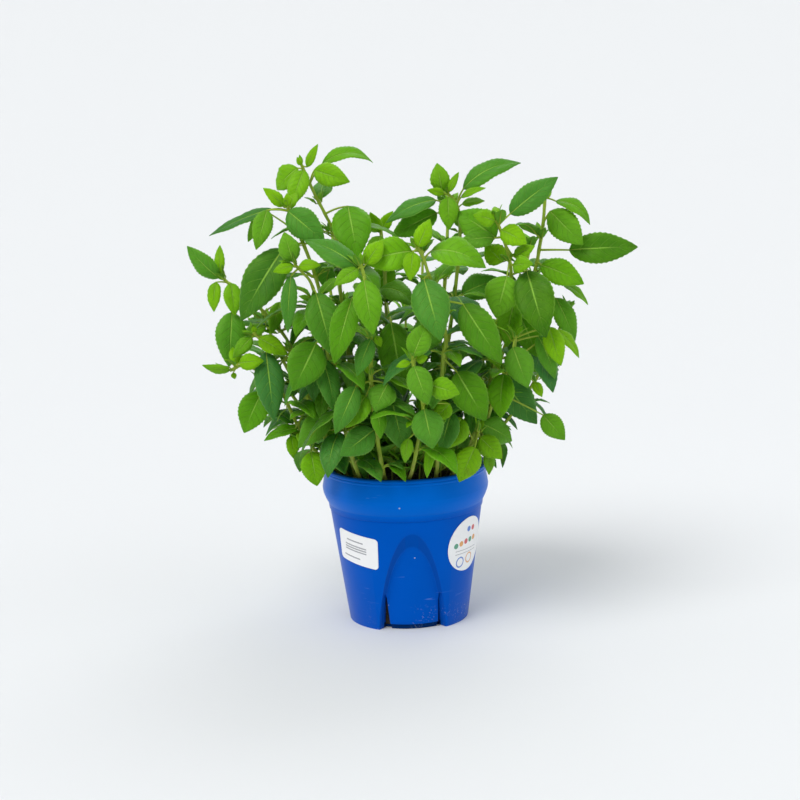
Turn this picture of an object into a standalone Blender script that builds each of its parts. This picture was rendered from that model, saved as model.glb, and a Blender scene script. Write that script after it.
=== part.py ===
# Potted peppermint: a blue nursery pot full of soil, with leafy peppermint stems growing out of it.
# Metres, +Z up. The origin is the centre of the pot's flat underside, and the photograph looks along +Y.

import math
import random

import bmesh
import bpy
from mathutils import Vector
from mathutils.bvhtree import BVHTree

MM = 0.001
CLEARANCE = 0.3 * MM

# Pot
POT_HEIGHT = 123 * MM
RIM_RADIUS = 62.2 * MM
BEAD_RADIUS = 63.6 * MM
BEAD_DROP = 2.6 * MM
GROOVE_DROP = 5.2 * MM
GROOVE_DEPTH = 0.5 * MM
COLLAR_RADIUS = 65.0 * MM
COLLAR_DROP = 16.5 * MM
COLLAR_FOOT = 94.3 * MM
COLLAR_BELLY = ((0.4 * MM, 8.5 * MM), (2.3 * MM, 3.6 * MM))
NECK_RADIUS = 60.7 * MM
NECK_STEP = 0.5 * MM
NECK_STEP_HEIGHT = 90.0 * MM
BASE_RADIUS = 46.9 * MM
WALL = 1.8 * MM
FLOOR = 2.0 * MM
POT_STEPS = 32
SHELL_STEPS = 32

# Arched recesses round the pot's foot
ARCH_COUNT = 3
ARCH_TURN = math.radians(3.7)
ARCH_HEIGHT = 81.5 * MM
ARCH_HALF = 27.8 * MM
ARCH_POWER = 1.38
PANEL_HEIGHT = 66.5 * MM
PANEL_HALF = 25 * MM
PANEL_POWER = 1.8
ARCH_DEPTH = 5 * MM
PANEL_BACKING = 3.0 * MM
TOE_HEIGHT = 4.2 * MM
TOE_DEPTH = 6.8 * MM
TOE_SIDE = 1 * MM
SLIT_HEIGHT = 29 * MM
SLIT_WIDTHS = (4.4 * MM, 2.4 * MM)
SLIT_SIDE = 0.5 * MM
SLIT_DEPTH = 9.6 * MM
SLIT_TIP = 0.8 * MM
CUT_PROUD = 2.5 * MM
CUT_BELOW = 1 * MM
ARCH_COLUMNS = 3
ARCH_ROWS = 4
BACKING_SHARES = (0.3, 0.6, 0.86)
BACKING_HEAD = 0.45

# Stickers on the pot's body
STICKER_THICKNESS = 0.4 * MM
PRICE_LABEL_SIZE = (40 * MM, 25 * MM)
PRICE_LABEL_CORNER = 3 * MM
PRICE_LABEL_COLUMNS = 10
PRICE_LABEL_TURN = math.radians(-44)
PRICE_LABEL_HEIGHT = 65 * MM
PRICE_LABEL_TILT = math.radians(-6.5)
ROUND_LABEL_RADIUS = 21.6 * MM
ROUND_LABEL_FLAT = 0.12
ROUND_LABEL_COLUMNS = 12
ROUND_LABEL_TURN = math.radians(55.5)
ROUND_LABEL_HEIGHT = 64.8 * MM

# Soil
SOIL_TOP = 111 * MM
SOIL_BUMP = 1.0 * MM
SOIL_EDGE_DROP = 0.5 * MM
SOIL_RINGS = (20 * MM, 44 * MM)
SOIL_STEPS = 16
SOIL_GAP = 0.6 * MM
HOLE_DEPTH = 16 * MM
HOLE_SIDES = 6

# Eye that the plant's outline is read from: place, pitch and roll, and the focal length in pixels
EYE = Vector((-0.0023, -1.307, 0.415))
EYE_PITCH = math.radians(10.5)
EYE_ROLL = math.radians(-1.7)
FOCAL_PX = 1707
CENTRE_PX = 400

# Stems and leaves
STEM_ROOT_RADIUS = 2.0 * MM
STEM_TIP_RADIUS = 1.4 * MM
STEM_THICKENING = 160 * MM
STEM_END = 3 * MM
STAND_HEIGHT = 6 * MM
FOOT_SAG = 0.12
BACK_SHARES = (0, 0.2, 0.4, 0.6)
BACK_BULGE_OUT = 0.75
BACK_BULGE_UP = 0.45
BACK_TIP_ROOM = 20 * MM
BACK_TIP_STEP = 6 * MM
PETIOLE_HALF = 0.6 * MM
PETIOLE_DEPTH = 1.0 * MM
BLADE_THICKNESS = 1.2 * MM
LARGE_BLADE = 44 * MM
SMALL_BLADE = 25 * MM
TINY_BLADE = 13 * MM
LARGE_STATIONS = (0.14, 0.42, 0.75)
MEDIUM_STATIONS = (0.25, 0.66)
SMALL_STATIONS = (0.44,)
BLADE_BASE_POWER = 0.64
BLADE_TIP_POWER = 0.84
BLADE_ARCH = 0.10
TEST_GROWTH = 0.5 * MM
NODE_SPACING = 27 * MM
NODE_ABOVE_SOIL = 16 * MM
PAIR_STEP = 2.6 * MM
TAKEN_DISTANCE = 15 * MM
TAKEN_TURN = math.radians(55)
LOWEST_TIP = 80 * MM
RULE_TRIALS = 12
AXIL_FIRST = 3
AXIL_SIZE = 0.68
RULE_WIDTH = 0.52
RULE_ARCH = 0.13
STALK_RISE = 0.5
SEED = 11

# Leaves placed by rule, from the tip down, as (blade length mm, rise of the blade degrees, stalk length mm)
RULE_LEAVES = ((17, 40, 4), (31, 18, 6), (43, -8, 9), (51, -28, 12), (56, -42, 14), (54, -48, 14),
               (48, -50, 12))

# Outline of the foliage in the photograph, in pixels, clockwise from the pot's left rim
FOLIAGE_OUTLINE = (
    (326, 488), (300, 480), (294, 460), (281, 439), (262, 442), (242, 430), (238, 404), (250, 386),
    (236, 374), (202, 367), (214, 352), (214, 322), (205, 296), (212, 279), (187, 248), (196, 242),
    (222, 256), (206, 236), (260, 204), (264, 189), (282, 196), (290, 160), (318, 142), (356, 143),
    (374, 160), (356, 186), (358, 206), (372, 226), (398, 220), (424, 206), (428, 176), (442, 160),
    (462, 172), (522, 160), (556, 175), (556, 190), (592, 222), (580, 232), (640, 246), (622, 262),
    (586, 270), (590, 304), (580, 340), (580, 358), (562, 368), (560, 384), (550, 408), (568, 440),
    (540, 424), (518, 432), (512, 464), (488, 476), (458, 484),
)

# Stems read from the photograph. Each has its path from the growing tip down, as (x px, y px, depth mm),
# its root in the soil as (x mm, y mm), and its leaves as (path point that it grows from, blade base x px,
# y px, blade tip x px, y px, base and tip depth beyond that point in mm, width mm, roll degrees), and for a
# blade that bows more or less than most also its arch. A roll above 0 turns its upper face upwards.
FRONT_STEMS = (
    ("upper_left_rear", ((302, 166, -34), (310, 184, -33), (316, 197, -32), (325, 214, -30),
                         (337, 242, -26), (341, 298, -20)), (-30, -8), (
        (0, 307, 167, 318, 144, 0, 0, 7, 20),
        (0, 301, 165, 297, 157, 0, 0, 4, 0),
        (0, 298, 168, 277, 190, 2, 8, 20, 30),
        (0, 304, 170, 291, 207, -3, -14, 16, 10),
        (1, 314, 170, 350, 182, -3, -12, 18, 0),
        (1, 322, 164, 373, 163, 4, 14, 15, 50, 0.26),
        (3, 348, 206, 358, 259, -6, -26, 30, 0),
    )),
    ("upper_left_front", ((288, 208, -62), (297, 232, -58), (303, 243, -56), (318, 285, -46),
                          (330, 345, -36)), (-38, -26), (
        (0, 284, 206, 263, 188, 0, -4, 10, 20),
        (0, 288, 206, 287, 193, 0, 0, 6, 0),
        (0, 272, 209, 209, 236, 2, 10, 15, 60, 0.04),
        (0, 267, 210, 256, 250, -4, -14, 15, 0),
        (1, 266, 211, 248, 242, 8, 12, 10, 20),
        (1, 288, 211, 325, 242, -4, -12, 23, 0),
        (2, 283, 249, 241, 321, -10, -20, 30, 12),
    )),
    ("left_front", ((296, 266, -88), (302, 272, -87), (313, 288, -84), (324, 338, -72),
                    (338, 400, -58)), (-34, -42), (
        (0, 293, 262, 284, 232, 0, 4, 16, 0),
        (0, 293, 266, 273, 272, 0, -4, 9, 20),
        (0, 299, 266, 321, 265, 0, -4, 9, 20),
        (0, 291, 276, 288, 333, -6, -14, 12, 10),
        (2, 316, 293, 333, 356, -4, -16, 25, 0),
        (3, 316, 343, 293, 391, -4, -14, 29, 0),
        (3, 322, 358, 334, 412, 3, -6, 19, 20),
    )),
    ("front_left", ((361, 266, -102), (364, 276, -101), (369, 300, -98), (372, 337, -92),
                    (371, 381, -82), (376, 430, -68)), (-15, -48), (
        (0, 358, 268, 304, 240, 2, 10, 22, 40),
        (0, 358, 269, 334, 286, 0, -6, 12, 20),
        (0, 366, 264, 383, 240, 0, 4, 14, 10),
        (1, 364, 280, 373, 335, -6, -16, 21, 0),
        (2, 352, 298, 334, 364, -4, -14, 20, 5),
        (3, 371, 339, 357, 376, -4, -12, 14, 10),
        (3, 376, 336, 381, 347, -2, -4, 6, 10),
        (4, 356, 386, 335, 434, -8, -20, 18, 0),
        (4, 388, 384, 375, 412, -8, -16, 22, 20),
        (4, 366, 396, 346, 428, -4, -10, 22, 20),
        (4, 391, 397, 404, 451, 6, 0, 25, 0),
        (5, 374, 430, 340, 456, -12, -24, 22, 0),
    )),
    ("front_middle", ((413, 360, -110), (415, 372, -108), (423, 404, -98), (420, 430, -84)), (2, -50), (
        (0, 413, 356, 427, 322, 0, 4, 18, 0),
        (0, 416, 360, 428, 357, 0, -3, 7, 0),
        (0, 410, 362, 396, 367, 0, -3, 6, 20),
        (0, 414, 366, 428, 405, -4, -10, 19, 0),
        (1, 431, 385, 460, 394, -3, -10, 17, 0),
        (2, 424, 409, 433, 449, -5, -12, 24, 0),
        (2, 450, 404, 434, 420, 6, 4, 14, 10),
        (3, 437, 442, 427, 478, 4, 2, 11, 40),
        (3, 409, 438, 405, 463, -3, -3, 10, 20),
    )),
    ("middle_front", ((418, 248, -96), (424, 260, -95), (429, 275, -93), (440, 301, -86),
                      (446, 340, -80), (443, 358, -77), (439, 420, -64)), (23, -46), (
        (0, 418, 247, 430, 219, 0, 4, 13, 0),
        (0, 413, 252, 410, 281, -2, -8, 13, 0),
        (0, 412, 251, 363, 262, 2, -4, 26, 15),
        (1, 431, 251, 486, 268, 2, -6, 27, 38, 0.18),
        (2, 424, 279, 441, 341, -6, -18, 28, 0),
        (3, 463, 304, 502, 364, -4, -16, 25, 0),
        (4, 440, 318, 414, 351, 4, 8, 24, 10),
        (5, 457, 372, 486, 421, -6, -14, 27, 0),
        (6, 452, 412, 440, 455, 2, -4, 20, 10),
    )),
    ("middle_rear", ((448, 194, -38), (457, 206, -36), (460, 235, -30), (454, 300, -22)), (14, -12), (
        (0, 442, 191, 437, 163, 0, 2, 15, 0),
        (0, 449, 192, 459, 172, 0, 4, 6, 20),
        (0, 444, 193, 427, 190, 0, -3, 6, 0),
        (0, 448, 197, 449, 230, -4, -10, 15, 0),
        (1, 463, 189, 521, 163, 2, 8, 20, 42, 0.17),
        (1, 461, 197, 486, 188, -2, -10, 7, 40),
        (1, 462, 204, 485, 201, 3, 2, 10, 50),
        (1, 436, 200, 386, 223, 0, 2, 20, 52),
        (1, 437, 213, 392, 236, 6, 12, 20, 10),
        (3, 462, 294, 501, 279, 6, 10, 22, 20),
    )),
    ("right_front", ((497, 222, -58), (503, 237, -57), (509, 258, -55), (511, 275, -52),
                     (508, 310, -44), (497, 352, -38), (488, 390, -32)), (38, -28), (
        (0, 495, 221, 473, 215, 0, -4, 14, 20),
        (0, 501, 230, 527, 244, -3, -8, 17, 15),
        (0, 510, 214, 558, 177, 2, 8, 20, 10),
        (1, 496, 238, 457, 212, 8, 14, 27, 10),
        (1, 494, 238, 458, 243, 2, 2, 16, 30),
        (1, 514, 257, 535, 246, -2, -6, 11, 20),
        (2, 513, 266, 533, 264, -6, -12, 14, 20),
        (2, 503, 262, 485, 245, 14, 18, 18, 0),
        (2, 507, 276, 496, 318, -8, -16, 27, 0),
        (3, 527, 271, 546, 338, -10, -24, 30, 0),
        (4, 514, 304, 507, 347, 2, -4, 20, 20),
        (4, 521, 318, 537, 357, -2, -10, 20, 10),
        (5, 498, 375, 537, 424, -10, -20, 27, 0),
    )),
    ("right", ((545, 198, -32), (543, 225, -31), (539, 250, -30), (537, 262, -29), (528, 300, -24),
               (516, 350, -16)), (40, -4), (
        (0, 545, 198, 551, 187, 0, 0, 6, 10),
        (0, 556, 201, 590, 225, 0, -2, 14, 45, 0.24),
        (1, 550, 211, 583, 245, -3, -10, 23, 0),
        (2, 569, 250, 638, 247, 0, 0, 24, 6),
        (3, 541, 265, 584, 284, -3, -8, 21, 15),
        (3, 563, 284, 588, 305, 4, 4, 12, 60),
        (4, 556, 298, 575, 341, 4, 2, 17, 10),
    )),
    ("lower_right", ((515, 338, -66), (512, 362, -62), (496, 392, -54)), (46, -18), (
        (0, 513, 347, 528, 388, -6, -14, 22, 0),
        (0, 549, 327, 561, 366, 0, -6, 16, 0),
        (0, 538, 336, 555, 379, 6, 4, 15, 20),
        (1, 557, 330, 579, 358, 10, 12, 12, 50),
        (1, 534, 382, 542, 397, 2, 0, 8, 20),
        (2, 543, 415, 565, 440, 4, 0, 17, 0),
        (2, 504, 374, 501, 418, 8, 10, 22, 20),
    )),
    ("rim_right", ((478, 432, -60), (474, 443, -59), (462, 452, -54)), (33, -42), (
        (0, 475, 447, 459, 482, -10, -12, 20, 0),
        (0, 480, 437, 502, 459, -2, -6, 17, 0),
        (0, 482, 424, 512, 441, 4, 2, 22, 20),
        (0, 487, 450, 489, 475, 2, 0, 10, 30),
        (1, 462, 418, 446, 449, -3, -8, 22, 10),
    )),
    ("left", ((225, 280, -26), (238, 292, -26), (264, 312, -24), (290, 345, -20)), (-48, 4), (
        (0, 219, 278, 187, 246, 0, 4, 16, -18),
        (0, 220, 274, 220, 245, 0, 2, 8, 10),
        (0, 216, 282, 214, 312, -2, -6, 11, 20),
        (0, 231, 283, 235, 316, -4, -10, 14, 0),
        (1, 232, 312, 229, 367, -2, -10, 24, 0),
        (2, 280, 302, 271, 334, 0, -4, 12, 0),
        (2, 266, 326, 240, 340, 2, -2, 14, 40),
    )),
    ("lower_left", ((255, 334, -48), (268, 345, -47), (290, 352, -44), (308, 400, -38)), (-44, -24), (
        (0, 252, 337, 233, 358, -2, -6, 11, 10),
        (0, 259, 338, 287, 355, -3, -8, 14, 10),
        (0, 255, 332, 253, 326, 0, 0, 4, 0),
        (1, 266, 352, 274, 421, -4, -14, 23, 0),
        (2, 262, 392, 244, 433, 8, 4, 24, 10),
        (3, 329, 411, 298, 448, -12, -20, 20, 0),
        (3, 298, 428, 264, 441, 4, 4, 12, 45),
        (3, 291, 436, 293, 458, -2, -4, 11, 20),
        (3, 311, 452, 317, 486, -10, -12, 20, 0),
    )),
    ("far_left", ((232, 370, -56), (246, 366, -54), (276, 384, -46), (300, 430, -34)), (-50, -12), (
        (0, 230, 370, 202, 365, 0, -2, 8, -30),
        (0, 239, 363, 264, 361, -2, -4, 13, 10),
        (0, 233, 373, 235, 379, 0, 0, 4, 0),
    )),
    ("centre_rear", ((381, 232, 22), (384, 260, 20), (386, 300, 12)), (-6, 14), (
        (0, 378, 232, 370, 212, 0, -4, 12, 0),
        (0, 382, 230, 393, 211, 0, -4, 10, 10),
        (0, 381, 236, 372, 262, -4, -10, 16, 10),
        (1, 392, 266, 372, 290, 2, -4, 20, 0),
        (2, 380, 289, 414, 307, -6, -10, 24, 45, 0.25),
        (2, 391, 322, 404, 396, -60, -68, 28, 0),
    )),
)

# Stems behind, as (bearing degrees, tip distance from the axis mm, tip height mm, root distance mm)
BACK_STEMS = (
    (2, 128, 238, 42), (22, 112, 285, 36), (46, 118, 232, 44), (52, 66, 318, 24), (78, 96, 280, 34),
    (88, 132, 226, 46), (104, 52, 330, 18), (124, 104, 262, 38), (138, 70, 300, 26), (150, 134, 224, 44),
    (166, 118, 262, 34),
)

LEAF_GREEN = (0.10, 0.30, 0.02, 1.0)
POT_BLUE = (0.0, 0.10, 0.55, 1.0)
SOIL_BROWN = (0.02, 0.014, 0.01, 1.0)
STICKER_WHITE = (0.85, 0.85, 0.82, 1.0)


def clear_scene():
    for obj in list(bpy.data.objects):
        bpy.data.objects.remove(obj)


def new_collection(name):
    collection = bpy.data.collections.new(name)
    bpy.context.scene.collection.children.link(collection)
    return collection


def new_material(name, colour, roughness):
    material = bpy.data.materials.new(name)
    material.use_nodes = True
    shader = material.node_tree.nodes["Principled BSDF"]
    shader.inputs["Base Color"].default_value = colour
    shader.inputs["Roughness"].default_value = roughness
    shader.inputs["Metallic"].default_value = 0.0
    return material


def mesh_object(name, verts, faces, collection):
    mesh = bpy.data.meshes.new(name)
    mesh.from_pydata(verts, [], faces)
    mesh.update()
    obj = bpy.data.objects.new(name, mesh)
    collection.objects.link(obj)
    return obj


def as_cutter(obj):
    obj.hide_render = True
    obj.display_type = "WIRE"
    return obj


def add_boolean(obj, operation, other):
    cut = obj.modifiers.new(operation.title(), "BOOLEAN")
    cut.operation = operation
    cut.solver = "EXACT"
    cut.object = other


def turned(name, profile, steps, collection):
    """A solid turned from a profile that runs down its outer side, from the axis to the axis."""
    verts = [(r, 0, z) for r, z in profile]
    edges = [(i, i + 1) for i in range(len(verts) - 1)]
    mesh = bpy.data.meshes.new(name)
    mesh.from_pydata(verts, edges, [])
    obj = bpy.data.objects.new(name, mesh)
    collection.objects.link(obj)
    screw = obj.modifiers.new("Turn", "SCREW")
    screw.steps = steps
    screw.render_steps = steps
    screw.use_merge_vertices = True
    screw.merge_threshold = 0.00001
    return obj


# Pot body

def body_radius(z):
    """Outer radius of the pot's tapered body at a height."""
    return BASE_RADIUS + (NECK_RADIUS - NECK_STEP - BASE_RADIUS) * z / COLLAR_FOOT


def on_body(turn, along, z, offset):
    """A point on the body's wall: turn from the front, arc length along it, height and offset outwards."""
    radius = body_radius(z)
    angle = turn - math.pi / 2 + along / radius
    return Vector(((radius + offset) * math.cos(angle), (radius + offset) * math.sin(angle), z))


def pot_profile():
    """The pot's outer side, from the middle of its mouth to the middle of its underside."""
    rim = [(0, POT_HEIGHT), (RIM_RADIUS, POT_HEIGHT), (BEAD_RADIUS, POT_HEIGHT - BEAD_DROP),
           (BEAD_RADIUS - GROOVE_DEPTH, POT_HEIGHT - GROOVE_DROP), (COLLAR_RADIUS, POT_HEIGHT - COLLAR_DROP)]
    belly = [(COLLAR_RADIUS - inward, COLLAR_FOOT + rise) for inward, rise in COLLAR_BELLY]
    step = body_radius(NECK_STEP_HEIGHT)
    neck = [(NECK_RADIUS, COLLAR_FOOT), (step + NECK_STEP, NECK_STEP_HEIGHT), (step, NECK_STEP_HEIGHT - NECK_STEP)]
    return rim + belly + neck + [(BASE_RADIUS, 0), (0, 0)]


def cavity_profile(top, inset):
    """The pot's inside, drawn in from the wall by an inset."""
    mouth = RIM_RADIUS - WALL - inset
    belly_inward, belly_rise = COLLAR_BELLY[0]
    belly = COLLAR_RADIUS - WALL - belly_inward - inset
    neck = body_radius(COLLAR_FOOT) - WALL - inset
    foot = body_radius(FLOOR) - WALL - inset
    return (
        (0, top), (mouth, top), (mouth, SOIL_TOP), (belly, COLLAR_FOOT + belly_rise),
        (neck, COLLAR_FOOT - 1 * MM), (foot, FLOOR + inset), (0, FLOOR + inset),
    )


def arch_half(z, half, height, power):
    """Half width at a height of a tall rounded arch that stands on the pot's foot."""
    return half * math.sqrt(max(0.0, 1 - (max(0.0, z) / height) ** power))


def arch_shares():
    """Shares of an arch's height at which its rows stand, closer together towards its head."""
    return [math.sin(math.pi / 2 * row / ARCH_ROWS) for row in range(ARCH_ROWS)] + [0.999]


def wall_block(name, turn, layers, columns, collection):
    """A block bent round the pot's wall. Each layer is a list of rows (z, left, right, offset)."""
    grids = []
    verts = []
    for layer in layers:
        grid = []
        for z, left, right, offset in layer:
            row = []
            for column in range(columns + 1):
                along = left + (right - left) * column / columns
                row.append(len(verts))
                verts.append(on_body(turn, along, z, offset))
            grid.append(row)
        grids.append(grid)
    faces = []
    outer, inner = grids[0], grids[-1]
    for low in range(len(outer) - 1):
        for column in range(columns):
            faces.append((outer[low][column], outer[low][column + 1], outer[low + 1][column + 1],
                          outer[low + 1][column]))
            faces.append((inner[low][column], inner[low + 1][column], inner[low + 1][column + 1],
                          inner[low][column + 1]))
    for front, back in zip(grids, grids[1:]):
        for low in range(len(front) - 1):
            faces.append((front[low][0], front[low + 1][0], back[low + 1][0], back[low][0]))
            faces.append((front[low + 1][-1], front[low][-1], back[low][-1], back[low + 1][-1]))
        for column in range(columns):
            faces.append((front[0][column + 1], front[0][column], back[0][column], back[0][column + 1]))
            faces.append((front[-1][column], front[-1][column + 1], back[-1][column + 1], back[-1][column]))
    obj = mesh_object(name, verts, faces, collection)
    bm = bmesh.new()
    bm.from_mesh(obj.data)
    bmesh.ops.recalc_face_normals(bm, faces=bm.faces)
    bm.to_mesh(obj.data)
    bm.free()
    return obj


def recess(name, turn, collection):
    """The cutter of one arched recess, with the band that slopes from the wall down to its panel."""
    layers = []
    for half, height, power, offset in (
            (ARCH_HALF, ARCH_HEIGHT, ARCH_POWER, CUT_PROUD), (ARCH_HALF, ARCH_HEIGHT, ARCH_POWER, 0.0),
            (PANEL_HALF, PANEL_HEIGHT, PANEL_POWER, -ARCH_DEPTH)):
        rows = [(-CUT_BELOW, -half, half, offset)]
        for share in arch_shares():
            width = arch_half(share * height, half, height, power)
            rows.append((share * height, -width, width, offset))
        layers.append(rows)
    return as_cutter(wall_block(name, turn, layers, ARCH_COLUMNS, collection))


def toe_cut(name, turn, collection):
    """The low gap under one recess's panel."""
    half = PANEL_HALF - TOE_SIDE
    heights = (-2 * CUT_BELOW, TOE_HEIGHT)
    layers = [[(z, -half, half, offset) for z in heights] for offset in (CUT_PROUD, -TOE_DEPTH)]
    return as_cutter(wall_block(name, turn, layers, ARCH_COLUMNS, collection))


def slit(name, turn, side, collection):
    """One tapered opening between a panel and its leg. The left one is wider."""
    width = SLIT_WIDTHS[0 if side < 0 else 1]
    layers = []
    for offset in (CUT_PROUD, -SLIT_DEPTH):
        rows = []
        for z in (-3 * CUT_BELOW, SLIT_HEIGHT):
            outer = arch_half(z, ARCH_HALF, ARCH_HEIGHT, ARCH_POWER) - SLIT_SIDE
            inner = outer - width * (1 - z / SLIT_HEIGHT) - SLIT_TIP
            left, right = sorted((side * outer, side * inner))
            rows.append((z, left, right, offset))
        layers.append(rows)
    return as_cutter(wall_block(name, turn, layers, 1, collection))


def backing(name, turn, growth, collection):
    """The part of the cavity that one recess and its backing take up."""
    top = ARCH_HEIGHT + PANEL_BACKING + growth
    rows = [(-4 * CUT_BELOW, ARCH_HALF + WALL + growth)]
    for share in BACKING_SHARES:
        z = share * ARCH_HEIGHT
        rows.append((z, arch_half(z, ARCH_HALF, ARCH_HEIGHT, ARCH_POWER) + WALL + growth))
    rows.append((top, BACKING_HEAD * rows[-1][1]))
    depth = ARCH_DEPTH + PANEL_BACKING + growth
    layers = [[(z, -half, half, offset) for z, half in rows] for offset in (CUT_PROUD, -depth)]
    return as_cutter(wall_block(name, turn, layers, ARCH_COLUMNS, collection))


def arch_turns():
    return [ARCH_TURN + 2 * math.pi * k / ARCH_COUNT for k in range(ARCH_COUNT)]


def make_pot(parts, cutters):
    pot = turned("pot", pot_profile(), POT_STEPS, parts)
    cavity = as_cutter(turned("pot_cavity", cavity_profile(POT_HEIGHT + 10 * MM, 0.0), POT_STEPS, cutters))
    cavity.rotation_euler.z = math.pi / POT_STEPS
    for k, turn in enumerate(arch_turns()):
        add_boolean(cavity, "DIFFERENCE", backing(f"backing_{k}", turn, 0.0, cutters))
    for k, turn in enumerate(arch_turns()):
        add_boolean(pot, "DIFFERENCE", recess(f"recess_{k}", turn, cutters))
        add_boolean(pot, "DIFFERENCE", toe_cut(f"toe_{k}", turn, cutters))
    add_boolean(pot, "DIFFERENCE", cavity)
    for k, turn in enumerate(arch_turns()):
        for side in (-1, 1):
            add_boolean(pot, "DIFFERENCE", slit(f"slit_{k}_{side + 1}", turn, side, cutters))
    pot.data.materials.append(new_material("blue_plastic", POT_BLUE, 0.38))
    return pot


# Stickers

def sticker(name, turn, height, tilt, half_height, half_width, columns, collection):
    """A thin plate bent round the wall, whose half height is given at each distance from its middle."""
    verts = []
    for offset in (CLEARANCE + STICKER_THICKNESS, CLEARANCE):
        for level in (-1, 1):
            for column in range(columns + 1):
                along = half_width * math.sin(math.pi / 2 * (2 * column / columns - 1))
                up = level * half_height(along)
                turned_along = along * math.cos(tilt) - up * math.sin(tilt)
                turned_up = along * math.sin(tilt) + up * math.cos(tilt)
                verts.append(on_body(turn, turned_along, height + turned_up, offset))
    span = columns + 1
    faces = []
    for c in range(columns):
        faces.append((c, c + 1, span + c + 1, span + c))
        faces.append((2 * span + c, 3 * span + c, 3 * span + c + 1, 2 * span + c + 1))
        faces.append((c, 2 * span + c, 2 * span + c + 1, c + 1))
        faces.append((span + c, span + c + 1, 3 * span + c + 1, 3 * span + c))
    faces.append((0, span, 3 * span, 2 * span))
    faces.append((columns, 2 * span + columns, 3 * span + columns, span + columns))
    obj = mesh_object(name, verts, faces, collection)
    obj.data.materials.append(new_material(name + "_paper", STICKER_WHITE, 0.45))
    return obj


def price_half_height(along):
    """Half the height of the oblong label with rounded corners."""
    width, tall = PRICE_LABEL_SIZE
    past = max(0.0, abs(along) - (width / 2 - PRICE_LABEL_CORNER))
    return tall / 2 - PRICE_LABEL_CORNER + math.sqrt(max(0.0, PRICE_LABEL_CORNER ** 2 - past ** 2))


def round_half_height(along):
    """Half the height of the round label, whose two sides end in a short flat."""
    return math.sqrt(max((ROUND_LABEL_FLAT * ROUND_LABEL_RADIUS) ** 2, ROUND_LABEL_RADIUS ** 2 - along ** 2))


def make_stickers(parts):
    sticker("price_label", PRICE_LABEL_TURN, PRICE_LABEL_HEIGHT, PRICE_LABEL_TILT, price_half_height,
            PRICE_LABEL_SIZE[0] / 2, PRICE_LABEL_COLUMNS, parts)
    sticker("round_label", ROUND_LABEL_TURN, ROUND_LABEL_HEIGHT, 0.0, round_half_height, ROUND_LABEL_RADIUS,
            ROUND_LABEL_COLUMNS, parts)


# Soil

def soil_height(x, y):
    """Height of the soil's crumbly top, which falls a little at its edge."""
    if math.hypot(x, y) > SOIL_RINGS[-1] + 1 * MM:
        return SOIL_TOP - SOIL_EDGE_DROP
    wave = math.sin(x * 210 + 1.3) * math.cos(y * 170 - 0.4) + 0.6 * math.sin(x * 97 - y * 133)
    return SOIL_TOP + SOIL_BUMP * wave


def stem_hole(name, x, y, cutters):
    """The cutter of the plain hole that one stem stands in."""
    radius = (STEM_ROOT_RADIUS + CLEARANCE) / math.cos(math.pi / HOLE_SIDES)
    depth = 2 * (HOLE_DEPTH + CLEARANCE)
    bpy.ops.mesh.primitive_cylinder_add(vertices=HOLE_SIDES, radius=radius, depth=depth,
                                        location=(x, y, SOIL_TOP))
    hole = as_cutter(bpy.context.object)
    hole.name = name
    for owner in list(hole.users_collection):
        owner.objects.unlink(hole)
    cutters.objects.link(hole)
    return hole


def make_soil(parts, cutters, roots):
    side = cavity_profile(SOIL_TOP, SOIL_GAP)[2:]
    top = tuple((r, SOIL_TOP) for r in (0,) + SOIL_RINGS)
    form = turned("soil_form", top + side, SOIL_STEPS, cutters)
    depsgraph = bpy.context.evaluated_depsgraph_get()
    mesh = bpy.data.meshes.new_from_object(form.evaluated_get(depsgraph))
    bpy.data.objects.remove(form)
    bm = bmesh.new()
    bm.from_mesh(mesh)
    bmesh.ops.remove_doubles(bm, verts=bm.verts, dist=0.01 * MM)
    for vert in bm.verts:
        if vert.co.z > SOIL_TOP - 0.1 * MM:
            vert.co.z = soil_height(vert.co.x, vert.co.y)
    bm.to_mesh(mesh)
    bm.free()
    soil = bpy.data.objects.new("soil", mesh)
    parts.objects.link(soil)
    for k, turn in enumerate(arch_turns()):
        add_boolean(soil, "DIFFERENCE", backing(f"soil_backing_{k}", turn, SOIL_GAP, cutters))
    for k, (x, y) in enumerate(roots):
        add_boolean(soil, "DIFFERENCE", stem_hole(f"stem_hole_{k}", x, y, cutters))
    mesh.materials.clear()
    mesh.materials.append(new_material("potting_soil", SOIL_BROWN, 0.95))
    return soil


# Reading places off the photograph

def eye_axes():
    forward = Vector((0, math.cos(EYE_PITCH), -math.sin(EYE_PITCH)))
    level = Vector((1, 0, 0))
    upright = Vector((0, math.sin(EYE_PITCH), math.cos(EYE_PITCH)))
    right = level * math.cos(EYE_ROLL) + upright * math.sin(EYE_ROLL)
    up = upright * math.cos(EYE_ROLL) - level * math.sin(EYE_ROLL)
    return forward, right, up


def seen_at(px, py, depth):
    """The point seen at a pixel of the photograph, at a depth (mm) behind the pot's axis."""
    forward, right, up = eye_axes()
    ray = forward + right * ((px - CENTRE_PX) / FOCAL_PX) - up * ((py - CENTRE_PX) / FOCAL_PX)
    return EYE + ray * ((depth * MM - EYE.y) / ray.y)


def pixel_of(point):
    """The pixel of the photograph at which a point is seen."""
    forward, right, up = eye_axes()
    away = point - EYE
    scale = FOCAL_PX / away.dot(forward)
    return CENTRE_PX + away.dot(right) * scale, CENTRE_PX - away.dot(up) * scale


def inside_outline(point):
    px, py = pixel_of(point)
    inside = False
    count = len(FOLIAGE_OUTLINE)
    for k in range(count):
        x0, y0 = FOLIAGE_OUTLINE[k]
        x1, y1 = FOLIAGE_OUTLINE[(k + 1) % count]
        if (y0 > py) != (y1 > py) and px < x0 + (py - y0) * (x1 - x0) / (y1 - y0):
            inside = not inside
    return inside


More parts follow.
